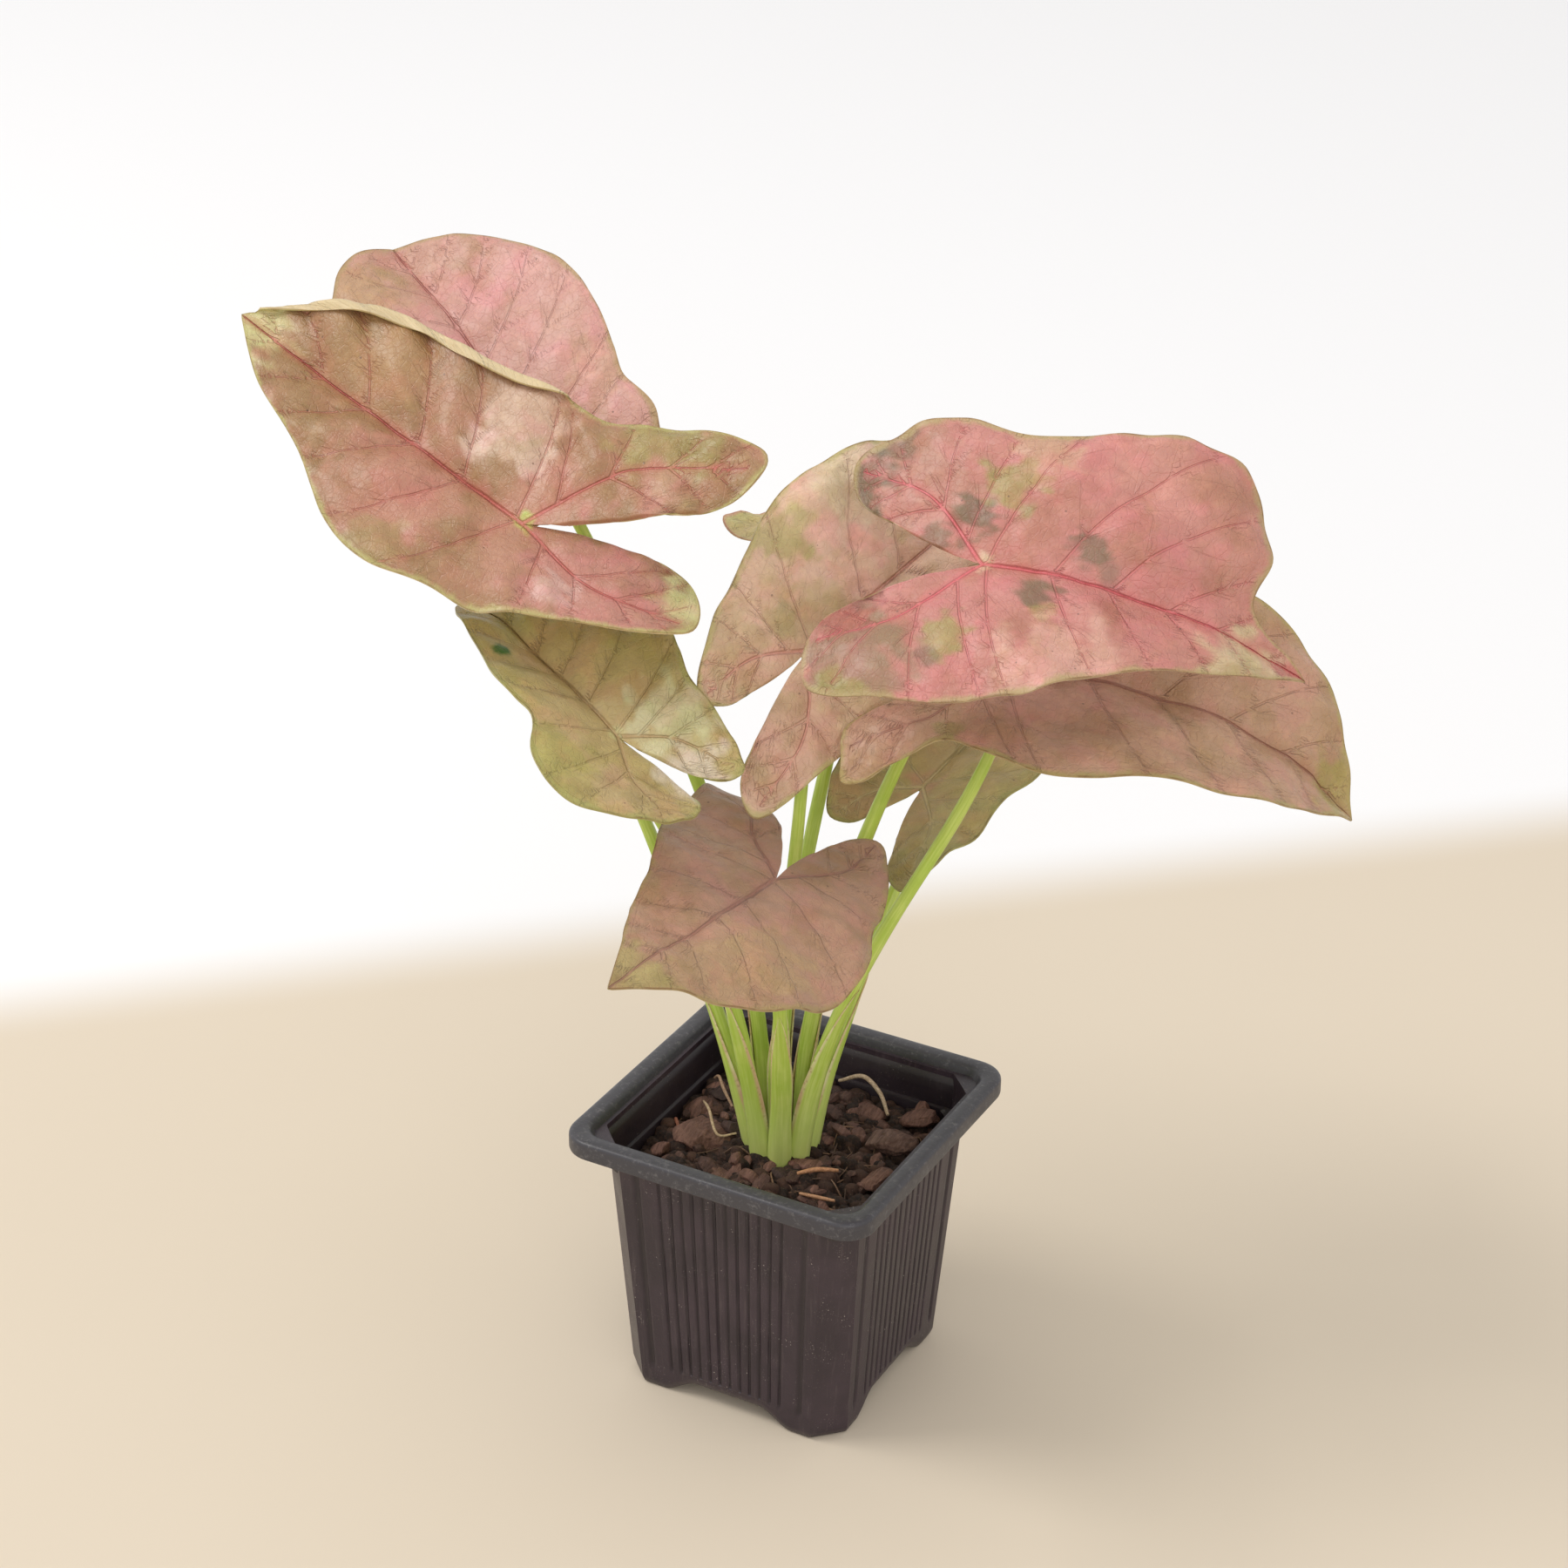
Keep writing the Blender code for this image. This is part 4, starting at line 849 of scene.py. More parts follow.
def make_leaf(number, name, leaf, look):
    """The blade: a thin closed sheet on a fan of columns from the joint to the margin."""
    rng = np.random.default_rng(LEAF_SEED + number)
    half_steps, ring_count = look["steps"]
    sides, shares, margin, veins = [], [], [], []
    for side in (1, -1):
        sinus = look.get("sinus", LOBE_RETURN) if side < 0 else LOBE_RETURN
        outline = half_outline(leaf, side, half_steps, sinus)
        share = np.linspace(0, 1, half_steps + 1)
        ragged = 0.006 * margin_ripples(share, rng, 5.0) + 0.008 * margin_ripples(share, rng, 13.0)
        outline = outline * (1 + ragged * np.sin(np.pi * share))[:, None]
        veins += half_veins(leaf, side, outline, rng)
        order = slice(None, 0, -1) if side > 0 else slice(None)
        sides.append(np.full(half_steps + 1, side)[order])
        shares.append(share[order])
        margin.append(outline[order])
    side = np.concatenate(sides)[:, None]
    share = np.concatenate(shares)[:, None]
    margin = np.concatenate(margin)
    near_count = ring_count // 4
    far_rings = np.linspace(0.03, 0.9, ring_count - near_count, endpoint=False)
    ring = np.r_[far_rings, np.linspace(0.9, 1, near_count)][None, :]
    reach = np.hypot(margin[:, 0], margin[:, 1])[:, None]
    out = margin / reach

    # A rolled margin leaves the flat leaf on a small circle and lies back over the blade
    distance = reach * ring
    lift = np.zeros(distance.shape)
    for roll_side, start, stop, width, radius in look.get("rolls", ()):
        inside = (side == roll_side) & (share > start) & (share < stop)
        bell = np.where(inside, np.sin(np.pi * np.clip((share - start) / (stop - start), 0, 1)) ** 0.5, 0.0)
        bell = bell * (1 + 0.12 * margin_ripples(share, rng, 9.0))
        distance = distance + smooth_step(0.85, 1.0, ring) * width * bell
        past = np.where(inside, distance - reach + radius, 0.0).clip(0.0)
        angle = np.minimum(past / radius, ROLL_TURN)
        rest = past - angle * radius
        distance = distance - past + radius * np.sin(angle) + rest * math.cos(ROLL_TURN)
        lift = lift + radius * (1 - np.cos(angle)) + rest * math.sin(ROLL_TURN)
    x = out[:, :1] * distance
    y = out[:, 1:] * distance
    flat_x = margin[:, :1] * ring
    flat_y = margin[:, 1:] * ring
    flat = np.stack([flat_x, flat_y], -1).reshape(-1, 2)
    vein_side, gap, weight, strong = vein_fields(flat, veins)
    strong = strong.reshape(distance.shape)
    rim = reach * (1 - ring)
    calm = smooth_step(0.0, 5.0, rim) * smooth_step(2.0, 12.0, reach * ring)
    quilt = 1.15 * (1 - np.exp(-(strong / 3.2) ** 2)) - 0.30 * np.exp(-(strong / 0.7) ** 2)
    relief = look["quilt"] * quilt * calm + 0.22 * ripples(flat_x, flat_y, rng, 7.0) * calm
    relief = relief + 0.75 * ripples(flat_x, flat_y, rng, 22.0) * smooth_step(8.0, 30.0, reach * ring)
    ruffle = np.sin(share * 58 + 2.0 * margin_ripples(share, rng, 14.0)) * np.sin(np.pi * share) ** 0.5
    relief = relief + 0.45 * ruffle * smooth_step(9.0, 0.0, rim) * smooth_step(14.0, 26.0, reach)
    lift = lift + wave_lift(leaf, ring, share) + relief
    matrix = turned(leaf)
    joint = np.array(leaf["joint"], float)
    points = bend(leaf, side, x, y, lift) @ matrix.T + joint
    centre = bend(leaf, 1, 0.0, 0.0, 0.0) @ matrix.T + joint

    normal = np.cross(np.gradient(points, axis=1), np.gradient(points, axis=0))
    normal /= np.maximum(np.linalg.norm(normal, axis=2), 1e-9)[..., None]
    keel = 0.75 * np.exp(-(flat_x / 0.9) ** 2) * (flat_y > -1)
    keel = keel * smooth_step(0.98, 0.3, flat_y / leaf["tip"])
    upper = (points + normal * BLADE_THICKNESS / 2).reshape(-1, 3)
    lower = (points - normal * (BLADE_THICKNESS / 2 + keel)[..., None]).reshape(-1, 3)
    up = matrix[:, 2]
    columns, rings = distance.shape
    count = columns * rings
    all_points = within_box(np.vstack([
        upper, centre + up * BLADE_THICKNESS / 2, lower, centre - up * BLADE_THICKNESS / 2]))
    top = grid_faces(columns, rings)
    faces = top + [[k + count + 1 for k in quad[::-1]] for quad in top]
    low = count + 1
    for c in range(columns - 1):
        a, b = c * rings, (c + 1) * rings
        faces.append((count, a, b))
        faces.append((count + low, b + low, a + low))
        a, b = a + rings - 1, b + rings - 1
        faces.append((a, a + low, b + low, b))
    for c, ahead in ((0, False), (columns - 1, True)):
        line = [count] + [c * rings + r for r in range(rings)]
        for a, b in zip(line, line[1:]):
            quad = (a, a + low, b + low, b)
            faces.append(quad[::-1] if ahead else quad)

    # Colours run from the joint outwards, with patches where the leaf shows them; on the left front leaf the
    # pale patches round the joint are painted sheen
    spread = np.hypot(flat_x, flat_y) / (0.75 * leaf["tip"]) + 0.25 * ripples(flat_x, flat_y, rng, 30.0)
    inner = smooth_step(0.05, 0.5, spread)[..., None]
    outer = smooth_step(0.55, 1.15, spread)[..., None]
    tint = np.array(look["base"]) * (1 - inner) + np.array(look["middle"]) * inner
    tint = tint * (1 - outer) + np.array(look["outer"]) * outer
    for px, py, radius, patch, strength in look["patches"]:
        blur = np.hypot(flat_x - px, flat_y - py) / radius + 0.20 * ripples(flat_x, flat_y, rng, 7.0)
        blur = blur + 0.22 * ripples(flat_x, flat_y * 0.5, rng, 3.0) * min(1.0, 6.0 / radius)
        share_of = (strength * smooth_step(1.10, 0.55, blur))[..., None]
        tint = tint * (1 - share_of) + np.array(patch) * share_of
    tint = np.concatenate([tint, np.ones((*tint.shape[:2], 1))], -1).reshape(-1, 4)

    def both(data, middle):
        data = np.asarray(data, float)
        shown = np.concatenate([data, np.asarray([middle], float)])
        return np.concatenate([shown, shown])

    ink = np.where(weight > 0.9, 0.85, np.where(weight > 0.5, look["ink"] * 0.7, 0.0))
    values = {
        "flat": both(np.c_[flat, np.zeros(count)], (0.0, 0.0, 0.0)),
        "tint": both(tint, (*look["base"], 1.0)),
        "vein_side": both(vein_side, 0.0),
        "vein_gap": both(gap, 0.0),
        "vein_weight": both(weight, 1.0),
        "vein_ink": both(ink, 0.85),
        "rim": both(np.broadcast_to(rim, distance.shape).ravel(), reach.max()),
        "under": np.r_[np.zeros(low), np.ones(low)],
    }
    add_piece("blade_" + name, all_points, faces, leaf_material("leaf_" + name, look, number),
              ["leaf_" + name], values, 60.0)


# Petioles

def stalk_route(leaf):
    """The petiole's middle line, from the clump to the underside of the blade."""
    base = np.array([*CLUMP_CENTRE, CROWN_TOP + 0.35])
    if leaf["slot"] is not None:
        slot = math.radians(leaf["slot"])
        base += np.array([math.cos(slot), math.sin(slot), 0.0]) * CLUMP_RADIUS
    matrix = turned(leaf)
    joint = np.array(leaf["joint"], float)
    first = bend(leaf, 1, 0.0, leaf["tip"] * FIRST_RING, 0.0) @ matrix.T + joint
    seat = joint + (first - joint) / np.linalg.norm(first - joint) * SEAT_AHEAD
    down = -matrix[:, 2]
    end = seat + down * 0.3
    knee = seat + down * 4.7
    foot = base + (0.0, 0.0, 3.0)
    t = np.linspace(0, 1, 90)[:, None]
    curve = (foot * (1 - t) ** 3 + np.array(leaf["rise"]) * 3 * t * (1 - t) ** 2
             + np.array(leaf["reach"]) * 3 * t * t * (1 - t) + knee * t ** 3)
    return np.vstack([base, (base + foot) / 2, curve, seat + down * 2.4, seat + down * 1.2, end])


def make_stalk(number, name, leaf, material):
    """A petiole with a shallow groove, and the winged sheath round its lower part."""
    rng = np.random.default_rng(STALK_SEED + number)
    route = stalk_route(leaf)
    lengths = lengths_along(route)
    share = lengths / lengths[-1]
    turn = np.linspace(0, math.tau, STALK_SIDES, endpoint=False)
    radius = STALK_BASE_RADIUS + (STALK_TOP_RADIUS - STALK_BASE_RADIUS) * share ** 0.8
    radius = radius * (1 + 0.05 * np.sin(share * 21 + number)) * (1 + 0.25 * smooth_step(0.97, 1.0, share))
    _, across, other = path_frames(route)
    centre = np.array([*CLUMP_CENTRE, 0.0])
    outward = route[8] - centre
    outward[2] = 0.0
    if np.linalg.norm(outward) < 2.0:
        outward = np.array([0.5, -0.85, 0.0])
    back = np.arctan2((other @ outward), (across @ outward))
    front = np.angle(np.exp(1j * (turn[None, :] - back[:, None] - math.pi)))
    groove = 1 - 0.14 * np.exp(-(front / 0.45) ** 2)
    points, faces, place = tube(route, radius[:, None] * groove, STALK_SIDES)
    add_piece("petiole_" + name, points, faces, material, ["stalk_" + name],
              dict(along=place[:, 0], round=place[:, 1], lot=np.full(len(points), number * 3.7),
                   height=points[:, 2], flap=np.zeros(len(points)),
                   top=smooth_step(0.93, 1.0, place[:, 0] / lengths[-1])))

    # The sheath: an open gutter whose thin edges stand off the petiole and end in a short point
    top_z = SHEATH_TOP + rng.uniform(-5.0, 6.0)
    rows = int(np.argmax(route[:, 2] > top_z))
    wide = SHEATH_COLUMNS
    s = (np.arange(rows) / (rows - 1))[:, None]
    reach = math.radians(118 + rng.uniform(-14, 14)) * (1 - s ** 2.2) ** 0.8 + 0.02
    u = np.linspace(-1, 1, wide)[None, :]
    angle = back[:rows, None] + u * reach
    flare = (0.75 * np.abs(u) ** 3 + 0.35) * (1 - s) ** 0.8
    wavy = 0.12 * np.sin(s * 11 + number + u * 2) * np.abs(u) ** 2
    size = radius[:rows, None] + 0.12 + flare + wavy
    outer, inner = (rings_round(route[:rows], size - depth, angle, across[:rows], other[:rows])
                    for depth in (0.0, SHEATH_THICKNESS))
    strip = np.concatenate([outer, inner[:, ::-1]], 1)
    ring = 2 * wide
    faces = grid_faces(rows, ring, wrap_columns=True)
    for row, ahead in ((0, False), (rows - 1, True)):
        for j in range(wide - 1):
            a, b = row * ring + j, row * ring + j + 1
            c, d = row * ring + ring - 2 - j, row * ring + ring - 1 - j
            faces.append((a, b, c, d) if ahead else (d, c, b, a))
    edge = np.abs(np.concatenate([u, u[:, ::-1]], 1))
    inside = np.r_[np.zeros(wide), np.ones(wide)]
    flap = np.maximum(smooth_step(0.55, 1.0, edge), 0.9 * inside) * smooth_step(0.0, 0.35, s)
    points = strip.reshape(-1, 3)
    add_piece("sheath_" + name, points, faces, material, (),
              dict(along=np.repeat(lengths[:rows], ring),
                   round=np.concatenate([angle, angle[:, ::-1]], 1).ravel(),
                   lot=np.full(len(points), number * 3.7 + 1.3), height=points[:, 2],
                   flap=flap.ravel(), top=np.zeros(len(points))))


# Pot

def body_half(z):
    """Half the pot's side at a height, outside."""
    share = z / (POT_HEIGHT - RIM_DEPTH)
    return (BODY_SIDE_BOTTOM + (BODY_SIDE_TOP - BODY_SIDE_BOTTOM) * share) / 2


def inner_half(z):
    """Half the pot's side at a height, inside."""
    return body_half(z) - WALL - (LEDGE_WIDTH if z < LEDGE_Z else 0.0)


def pot_columns():
    """Face number, place across the face from -1 to 1, and place round the corner after it, per column."""
    across = np.r_[np.linspace(-1, 1, FACE_COLUMNS), np.ones(CORNER_COLUMNS)]
    corner = np.r_[np.zeros(FACE_COLUMNS), np.arange(1, CORNER_COLUMNS + 1) / (CORNER_COLUMNS + 1)]
    face = np.repeat(np.arange(4), len(across))
    return face, np.tile(across, 4), np.tile(corner, 4)


def pot_loop(half, corner_size, z, roundness, inward=0.0):
    """One loop of the pot. A roundness of 0 cuts its corners off flat, and 1 rounds them."""
    face, across, corner = pot_columns()
    x = across * (half - corner_size)
    y = -(half - inward) * np.ones(len(x))
    turn = corner * math.pi / 2
    round_x = half - corner_size + corner_size * np.sin(turn)
    round_y = -(half - corner_size) - corner_size * np.cos(turn)
    cut_x = half - corner_size * (1 - corner)
    cut_y = -half + corner_size * corner
    cx = round_x * roundness + cut_x * (1 - roundness)
    cy = round_y * roundness + cut_y * (1 - roundness)
    x = np.where(corner > 0, cx, x)
    y = np.where(corner > 0, cy, y)
    c, s = np.cos(face * math.pi / 2), np.sin(face * math.pi / 2)
    return np.stack([x * c - y * s, x * s + y * c, z * np.ones(len(x))], -1)


def make_pot(material):
    """The moulded pot: arched feet, ribbed body, rolled rim, ledge and a floor with drain holes."""
    face, across, corner = pot_columns()
    half0 = body_half(0.0)
    x0 = np.abs(across) * (half0 - BODY_CHAMFER)
    arch = np.where(corner > 0, 0.0, ARCH_HEIGHT * smooth_step(ARCH_BASE / 2 + 1.5, ARCH_TOP / 2 - 1.0, x0))
    loops, lips, painted_shades, feet = [], [], [], []

    # groove is the strength of the painted shade: a groove's depth on the body, and 1 over the funnel, the
    # ledge and the inner walls
    def add(half, size, z, roundness, lip=0.0, inward=0.0, groove=0.0, foot=0.0):
        loops.append(pot_loop(half, size, z, roundness, inward))
        lips.append(np.full(len(across), lip))
        painted_shades.append(np.broadcast_to(groove, len(across)))
        feet.append(np.full(len(across), foot))

    ring = half0 - FOOT_WIDTH
    for inset, up in FOOT_PROFILE:
        z = np.minimum(arch + up, FLOOR_Z + 0.2) if inset == FOOT_WIDTH else arch + up
        add(half0 - inset, BODY_CHAMFER - 0.35 * inset, z, FLAT_CORNER, foot=1.0 if up < 0.3 else 0.4)
    places = [-DEEP_GROOVE_AT, DEEP_GROOVE_AT]
    widths = [DEEP_GROOVE_WIDTH] * 2
    for step in range(FINE_GROOVES):
        places.append(FINE_GROOVE_SPAN * (2 * step / (FINE_GROOVES - 1) - 1))
        widths.append(FINE_GROOVE_WIDTH)
    levels = np.r_[np.linspace(2.0, 9.0, 9), np.linspace(11.0, 59.0, 14), np.linspace(60.0, 69.6, 12)]
    for level in levels:
        z = level + arch * smooth_step(8.0, 2.0, level)
        half = body_half(level)
        place = across * (half - BODY_CHAMFER) * body_half(GROOVE_HIGH_Z) / half
        depth = np.zeros(len(across))
        for middle, width in zip(places, widths):
            depth = np.maximum(depth, np.exp(-(np.abs(place - middle) / (0.52 * width)) ** 4))
        depth *= smooth_step(GROOVE_LOW_Z - 1.5, GROOVE_LOW_Z + 0.5, level)
        depth *= smooth_step(GROOVE_HIGH_Z + 1.0, GROOVE_HIGH_Z - 1.0, level) * (corner == 0)
        add(half, BODY_CHAMFER, z, FLAT_CORNER, inward=GROOVE_DEPTH * depth, groove=depth)
    for inset, z in RIM_PROFILE:
        add(RIM_SIDE / 2 - inset, RIM_RADIUS - inset * 0.55, z, 1.0, lip=1.0)
    for half, z in FUNNEL_PROFILE:
        add(half, 5.0, z, 1.0, lip=float(smooth_step(68.5, 70.5, z)), groove=1.0)
    for inset, z in LEDGE_PROFILE:
        add(inner_half(LEDGE_Z) - inset, 5.0, z, 1.0, groove=1.0)
    for z in (LEDGE_Z - 0.5, 50.0, 40.0, 30.0, 20.0, 10.0, FLOOR_Z + 1.0):
        add(inner_half(z), 5.8, z, FLAT_CORNER, groove=1.0)
    add(ring - 0.4, BODY_CHAMFER - 1.2, FLOOR_Z + 0.6, FLAT_CORNER)
    faces = grid_faces(len(loops), len(across), wrap_rows=True, wrap_columns=True)
    values = dict(lip=np.concatenate(lips), groove=np.concatenate(painted_shades), foot=np.concatenate(feet))
    add_piece("pot_shell", np.vstack(loops), faces, material, ["pot"], values, 40.0)

    bm = bmesh.new()
    edges = []
    outer = pot_loop(ring + 0.1, BODY_CHAMFER - 1.0, FLOOR_Z, FLAT_CORNER)[::8]
    holes = []
    turn = np.linspace(0, math.tau, PLATE_HOLE_POINTS, endpoint=False)
    for cx, cy in ((0, 0), (1, 1), (-1, 1), (-1, -1), (1, -1)):
        holes.append(np.stack([DRAIN_RADIUS * np.cos(turn) + cx * DRAIN_OFFSET,
                               DRAIN_RADIUS * np.sin(turn) + cy * DRAIN_OFFSET, 0 * turn + FLOOR_Z], -1))
    for loop in [outer] + holes:
        verts = [bm.verts.new(p) for p in loop]
        edges += [bm.edges.new((a, b)) for a, b in zip(verts, verts[1:] + verts[:1])]
    filled = bmesh.ops.triangle_fill(bm, use_beauty=True, edges=edges)
    plate = [g for g in filled["geom"] if isinstance(g, bmesh.types.BMFace)]
    raised = bmesh.ops.extrude_face_region(bm, geom=plate, use_keep_orig=True)
    moved = [g for g in raised["geom"] if isinstance(g, bmesh.types.BMVert)]
    bmesh.ops.translate(bm, verts=moved, vec=(0.0, 0.0, FLOOR_THICKNESS))
    bmesh.ops.recalc_face_normals(bm, faces=bm.faces)
    bm.verts.index_update()
    points = [v.co.copy() for v in bm.verts]
    faces = [[v.index for v in f.verts] for f in bm.faces]
    bm.free()
    values = dict.fromkeys(("lip", "groove", "foot"), np.zeros(len(points)))
    add_piece("pot_floor", points, faces, material, (), values, 30.0)


# Soil

def soil_height(x, y):
    """Rough surface of the soil."""
    bumps = 0.9 * np.sin(x * 0.31 + 0.6) * np.cos(y * 0.27 - 0.4)
    bumps = bumps + 0.6 * np.sin(x * 0.73 + y * 0.55 + 1.3) + 0.4 * np.cos(x * 1.1 - y * 0.9)
    return SOIL_Z + bumps - 1.2 * (np.maximum(np.abs(x), np.abs(y)) / 31.0) ** 4


def keep_inside(x, y, half):
    """Pull points back into a square with cut-off corners."""
    x = np.clip(x, -half, half)
    y = np.clip(y, -half, half)
    limit = 2 * half - BODY_CHAMFER
    pull = np.minimum(1.0, limit / np.maximum(np.abs(x) + np.abs(y), 1e-6))
    return x * pull, y * pull


def make_soil(material):
    """A crumbly plug of potting mix: rounded crumbs of all sizes on the rough surface."""
    rng = np.random.default_rng(SOIL_SEED)
    count = SOIL_POINTS
    half = inner_half(SOIL_Z - 2.0) - 0.15
    steps = np.linspace(-half, half, count)
    x, y = np.meshgrid(steps, steps, indexing="ij")
    x, y = keep_inside(x, y, half)
    z = soil_height(x, y) + 0.35 * ripples(x, y, rng, 3.0) - 0.9
    tone = np.full(x.shape, 0.15)
    for _ in range(CRUMBS):
        cx, cy = rng.uniform(-half, half, 2)
        radius = 0.55 + 1.7 * rng.random() ** 3
        squash = rng.uniform(0.55, 1.0)
        high = soil_height(cx, cy) - 0.9 + rng.uniform(-0.2, 0.7)
        colour = rng.random() ** 2.2
        lo = np.searchsorted(steps, (cx - radius, cy - radius))
        hi = np.searchsorted(steps, (cx + radius, cy + radius))
        part = np.s_[lo[0]:hi[0], lo[1]:hi[1]]
        dx, dy = x[part] - cx, (y[part] - cy) / squash
        cap = high + 0.8 * np.sqrt(np.clip(radius ** 2 - dx ** 2 - dy ** 2, 0, None))
        cap = np.where(dx ** 2 + dy ** 2 < radius ** 2, cap, -1e9)
        taller = cap > z[part]
        z[part] = np.where(taller, cap, z[part])
        tone[part] = np.where(taller, colour, tone[part])
    top = np.stack([x, y, z], -1)
    border = [(i, 0) for i in range(count - 1)] + [(count - 1, j) for j in range(count - 1)]
    border += [(i, count - 1) for i in range(count - 1, 0, -1)] + [(0, j) for j in range(count - 1, 0, -1)]
    floor = FLOOR_Z + FLOOR_THICKNESS + 0.3
    low_half = inner_half(floor) - 0.3
    bottom = []
    for i, j in border:
        x, y = (low_half * (2 * k / (count - 1) - 1) for k in (i, j))
        bottom.append((*keep_inside(x, y, low_half), floor))
    faces = [quad[::-1] for quad in grid_faces(count, count)]
    first = count * count
    ends = len(border)
    for k in range(ends):
        n = (k + 1) % ends
        a, b = border[k][0] * count + border[k][1], border[n][0] * count + border[n][1]
        faces.append((a, first + k, first + n, b))
    faces.append(list(range(first, first + ends))[::-1])
    points = np.vstack([top.reshape(-1, 3), bottom])
    tones = np.r_[tone.ravel(), np.zeros(ends)]
    add_piece("soil_surface", points, faces, material, ["soil"], dict(tone=tones), 80.0)


def sphere_points(level):
    """Points and faces of a ball of radius 1."""
    bm = bmesh.new()
    bmesh.ops.create_icosphere(bm, subdivisions=level, radius=1.0)
    points = np.array([v.co for v in bm.verts])
    faces = [tuple(v.index for v in f.verts) for f in bm.faces]
    bm.free()
    return points, faces


def chip(ball, rng, place, size, heading, lean):
    """An angular chip: a rounded lump cut flat by random planes and pressed to its size."""
    points = ball.copy()
    for _ in range(11):
        normal = rng.normal(size=3)
        normal /= np.linalg.norm(normal)
        over = (points @ normal - rng.uniform(0.62, 0.86)).clip(0.0)
        points = points - over[:, None] * normal
    points = points + 0.03 * np.stack([ripples(points[:, (k + 1) % 3] * 9, points[:, k] * 9, rng, 3.0)
                                       for k in range(3)], -1)
    points = points * (np.array(size) / 2)
    about_x, about_y, about_z = axis_turns(*lean, heading)
    return points @ (about_z @ about_y @ about_x).T + np.array(place)


# Larger chips where they show: place, length, width, thickness, heading and colour
CHIPS = (
    ((-19.5, -8.2, 2.0), (16.0, 13.0, 6.0), 0.6, (0.23, 0.12, 0.085)),
    ((21.5, 12.5, 2.2), (14.0, 12.0, 7.0), 1.0, (0.24, 0.14, 0.105)),
    ((8.8, -5.8, 1.4), (10.5, 4.6, 3.4), 0.5, (0.34, 0.175, 0.13)),
    ((3.8, -10.8, 1.2), (7.0, 6.0, 4.0), 0.2, (0.08, 0.045, 0.036)),
    ((-26.0, 3.0, 1.4), (10.0, 8.0, 4.5), 1.9, (0.19, 0.095, 0.065)),
    ((-8.0, -19.0, 1.2), (11.0, 8.0, 4.6), 2.5, (0.2, 0.105, 0.07)),
    ((26.0, -3.0, 1.2), (10.0, 7.0, 4.0), 1.4, (0.25, 0.13, 0.09)),
    ((24.0, 24.0, 1.4), (11.0, 8.0, 5.0), 0.3, (0.22, 0.11, 0.08)),
    ((10.0, 23.0, 1.3), (10.0, 7.0, 4.4), 2.9, (0.19, 0.095, 0.068)),
    ((-10.0, 22.0, 1.4), (11.5, 8.0, 5.0), 0.9, (0.24, 0.12, 0.088)),
    ((15.5, -24.0, 1.2), (9.0, 6.0, 4.0), 2.2, (0.18, 0.092, 0.065)),
)

# Roots, straw and splinters: points over the soil, radius and colour
FIBRES = (
    (((-1.7, 30.0, 4.0), (5.5, 29.0, 6.2), (11.0, 27.0, 5.6), (15.6, 22.4, 3.2)), 0.6, (0.58, 0.45, 0.31)),
    (((-28.0, 14.0, 2.6), (-26.0, 12.5, 4.8), (-23.0, 9.5, 4.6), (-18.5, 6.0, 2.4)), 0.42,
     (0.46, 0.3, 0.19)),
    (((-8.0, 16.0, 3.0), (-13.0, 13.0, 4.4), (-15.0, 8.0, 4.0), (-13.0, 3.5, 3.0)), 0.32, (0.62, 0.5, 0.34)),
    (((-25.1, 3.5, 4.6), (-20.0, -3.0, 6.4), (-13.8, -9.1, 5.0), (-10.7, -6.1, 3.4)), 0.36,
     (0.6, 0.46, 0.28)),
    (((-29.5, -2.5, 1.2), (-28.0, -5.0, 2.6), (-25.0, -8.0, 1.2)), 0.45, (0.36, 0.13, 0.07)),
    (((9.6, -13.0, 3.0), (13.0, -10.0, 3.6), (17.2, -6.6, 3.0)), 0.6, (0.66, 0.34, 0.17)),
    (((13.6, -19.1, 2.8), (18.0, -19.6, 3.6), (22.9, -19.2, 2.8)), 0.5, (0.6, 0.33, 0.18)),
)


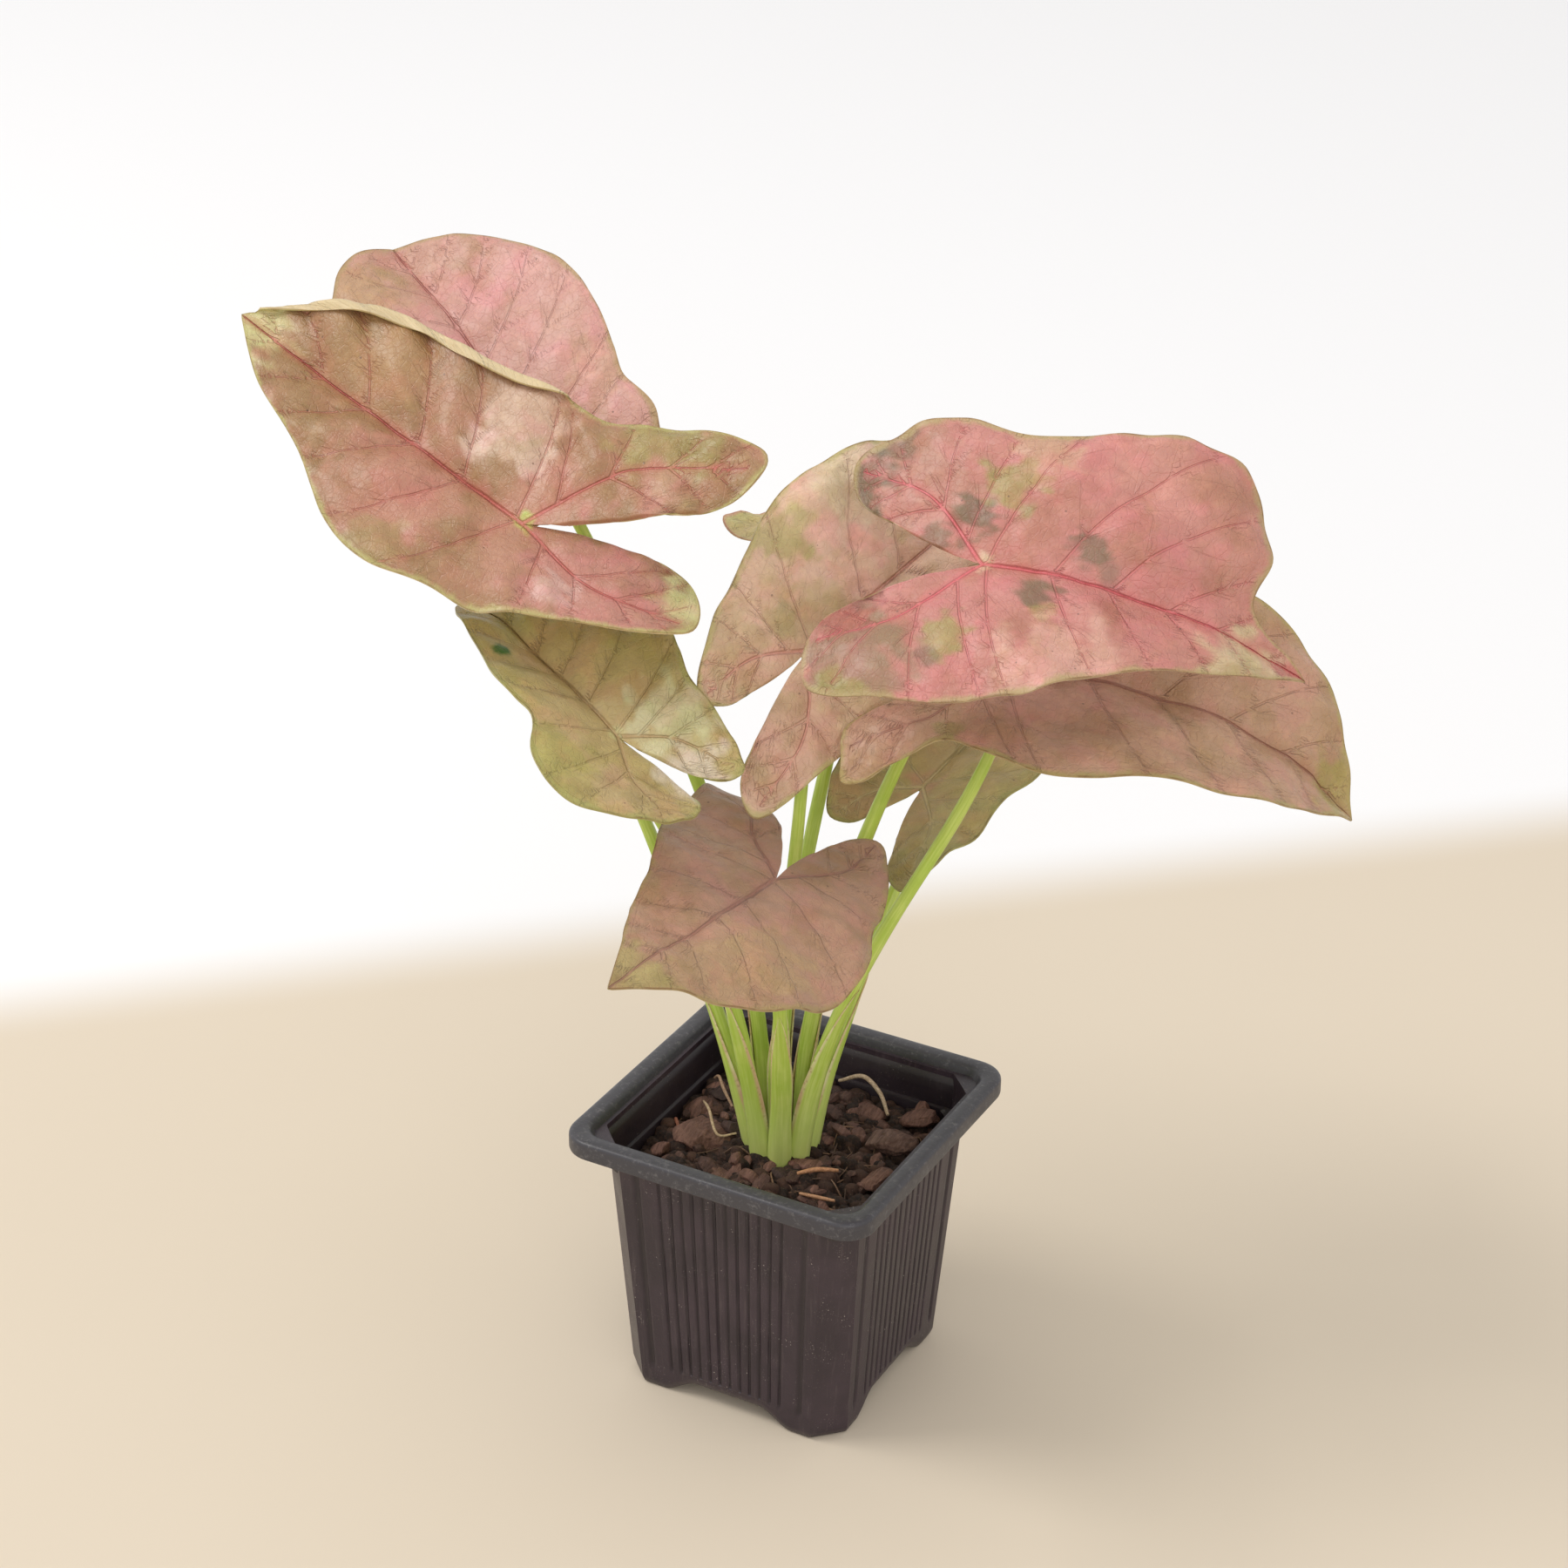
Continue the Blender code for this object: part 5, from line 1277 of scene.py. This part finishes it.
def make_litter(bark, fibre):
    """Bark chips, roots and splinters lying in the surface of the soil."""
    rng = np.random.default_rng(LITTER_SEED)
    ball, ball_faces = sphere_points(4)
    heap = Heap()
    for place, size, heading, colour in CHIPS:
        x, y, up = place
        lean = rng.uniform(-0.25, 0.25, 2)
        points = chip(ball, rng, (x, y, float(soil_height(x, y)) + up - 0.8), size, heading, lean)
        heap.add(points, ball_faces, colour)
    small, small_faces = sphere_points(3)
    for _ in range(SMALL_CHIPS):
        x, y = rng.uniform(-29, 29, 2)
        if math.hypot(x + 1.5, y + 0.5) < 10.0 or abs(x) + abs(y) > 52.0:
            continue
        length = rng.uniform(2.5, 8.0)
        size = (length, length * rng.uniform(0.45, 0.85), length * rng.uniform(0.3, 0.55))
        colour = np.array(CHIP_COLOUR) * rng.uniform(0.3, 1.3)
        lean = rng.uniform(-0.5, 0.5, 2)
        points = chip(small, rng, (x, y, float(soil_height(x, y)) + rng.uniform(-0.5, 0.6)), size,
                      rng.uniform(0, math.tau), lean)
        heap.add(points, small_faces, colour)
    heap.piece("bark_chips", bark, 30.0)

    threads = Heap()

    def lay(points, radius, colour, steps=22, sides=8):
        path = smooth_curve([(x, y, float(soil_height(x, y)) + up - 0.9) for x, y, up in points], steps)
        share = np.linspace(0, 1, len(path))
        taper = radius * (0.35 + 0.65 * np.sin(np.pi * (0.08 + 0.84 * share)) ** 0.5)
        tube_points, faces, _ = tube(path, taper, sides)
        threads.add(tube_points, faces, colour)

    for points, radius, colour in FIBRES:
        lay(points, radius, colour)
    for _ in range(THREADS):
        x, y = rng.uniform(-28, 28, 2)
        turn = rng.uniform(0, math.tau)
        length = rng.uniform(2.0, 6.5)
        curve = rng.uniform(-0.6, 0.6)
        points = []
        for k, up in enumerate((0.5, rng.uniform(0.9, 2.0), 0.4)):
            angle = turn + curve * (k - 1)
            away = length * (k - 1)
            points.append((*keep_inside(x + math.cos(angle) * away, y + math.sin(angle) * away, 29.5), up))
        shade = rng.uniform(0.25, 1.0)
        lay(points, rng.uniform(0.10, 0.22), np.array(THREAD_COLOUR) * shade, 10, 5)
    threads.piece("roots_and_straw", fibre, 60.0)


# Scene

def make_camera():
    azimuth, elevation, roll = (math.radians(v) for v in (CAMERA_AZIMUTH, CAMERA_ELEVATION, CAMERA_ROLL))
    back = np.array([math.sin(azimuth) * math.cos(elevation), -math.cos(azimuth) * math.cos(elevation),
                     math.sin(elevation)])
    level = np.cross(-back, (0, 0, 1))
    level /= np.linalg.norm(level)
    above = np.cross(level, -back)
    right = math.cos(roll) * level + math.sin(roll) * above
    up = math.cos(roll) * above - math.sin(roll) * level
    eye = np.array(CAMERA_TARGET) + back * CAMERA_DISTANCE + right * CAMERA_ASIDE + up * CAMERA_RAISED
    data = bpy.data.cameras.new("camera")
    data.lens = LENS
    data.sensor_width = SENSOR
    data.clip_start = 0.01
    data.clip_end = 20.0
    camera = link_object("camera", data)
    matrix = np.eye(4)
    matrix[:3] = np.stack([right, up, back, metres(eye)], -1)
    camera.matrix_world = Matrix(matrix.tolist())
    bpy.context.scene.camera = camera


def make_floor():
    """A plain pale floor, warm under the pot and white beyond it."""
    mesh = bpy.data.meshes.new("floor")
    corners = [(x * FLOOR_HALF, y * FLOOR_HALF, 0) for x, y in ((-1, -1), (1, -1), (1, 1), (-1, 1))]
    mesh.from_pydata(corners, [], [(0, 1, 2, 3)])
    s = Shade("floor")
    where = s.place()
    s.colour = s.mix(s.noise(where, 0.004), (0.67, 0.58, 0.46), (0.71, 0.62, 0.50))
    x, y = (s.node("SeparateXYZ", {0: where}, axis) for axis in (0, 1))
    beyond = s.plus(s.times(x, FLOOR_AWAY[0]), s.times(y, FLOOR_AWAY[1]))
    s.over(s.step(beyond, *FLOOR_FADE), (0.88, 0.88, 0.89))
    mesh.materials.append(s.finish(0.85, Specular_IOR_Level=0.2))
    link_object("floor", mesh)


def make_lights():
    """A pale world, and soft panels that face the plant."""
    world = bpy.data.worlds.new("studio")
    bpy.context.scene.world = world
    world.use_nodes = True
    shade = world.node_tree.nodes["Background"]
    shade.inputs["Color"].default_value = (1.0, 0.99, 0.98, 1.0)
    shade.inputs["Strength"].default_value = WORLD_STRENGTH
    for name, (place, size, watts, colour) in LIGHTS.items():
        data = bpy.data.lights.new(name, "AREA")
        data.shape = "RECTANGLE"
        data.size, data.size_y = size
        data.energy = watts
        data.color = colour
        light = link_object(name, data)
        light.location = place
        light.rotation_euler = (Vector(LIGHT_AIM) - Vector(place)).to_track_quat("-Z", "Y").to_euler()


def main():
    bpy.context.scene.view_settings.view_transform = "Standard"
    make_camera()
    make_floor()
    make_lights()
    make_pot(plastic_material())
    make_soil(soil_material())
    make_litter(bark_material(), fibre_material())
    stalk = stalk_material()
    for number, (name, leaf) in enumerate(LEAVES.items()):
        make_leaf(number, name, leaf, LOOKS[name])
        make_stalk(number, name, leaf, stalk)
    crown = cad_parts["crown"]
    crown.data.materials.clear()
    crown.data.materials.append(crown_material())
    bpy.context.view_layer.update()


main()
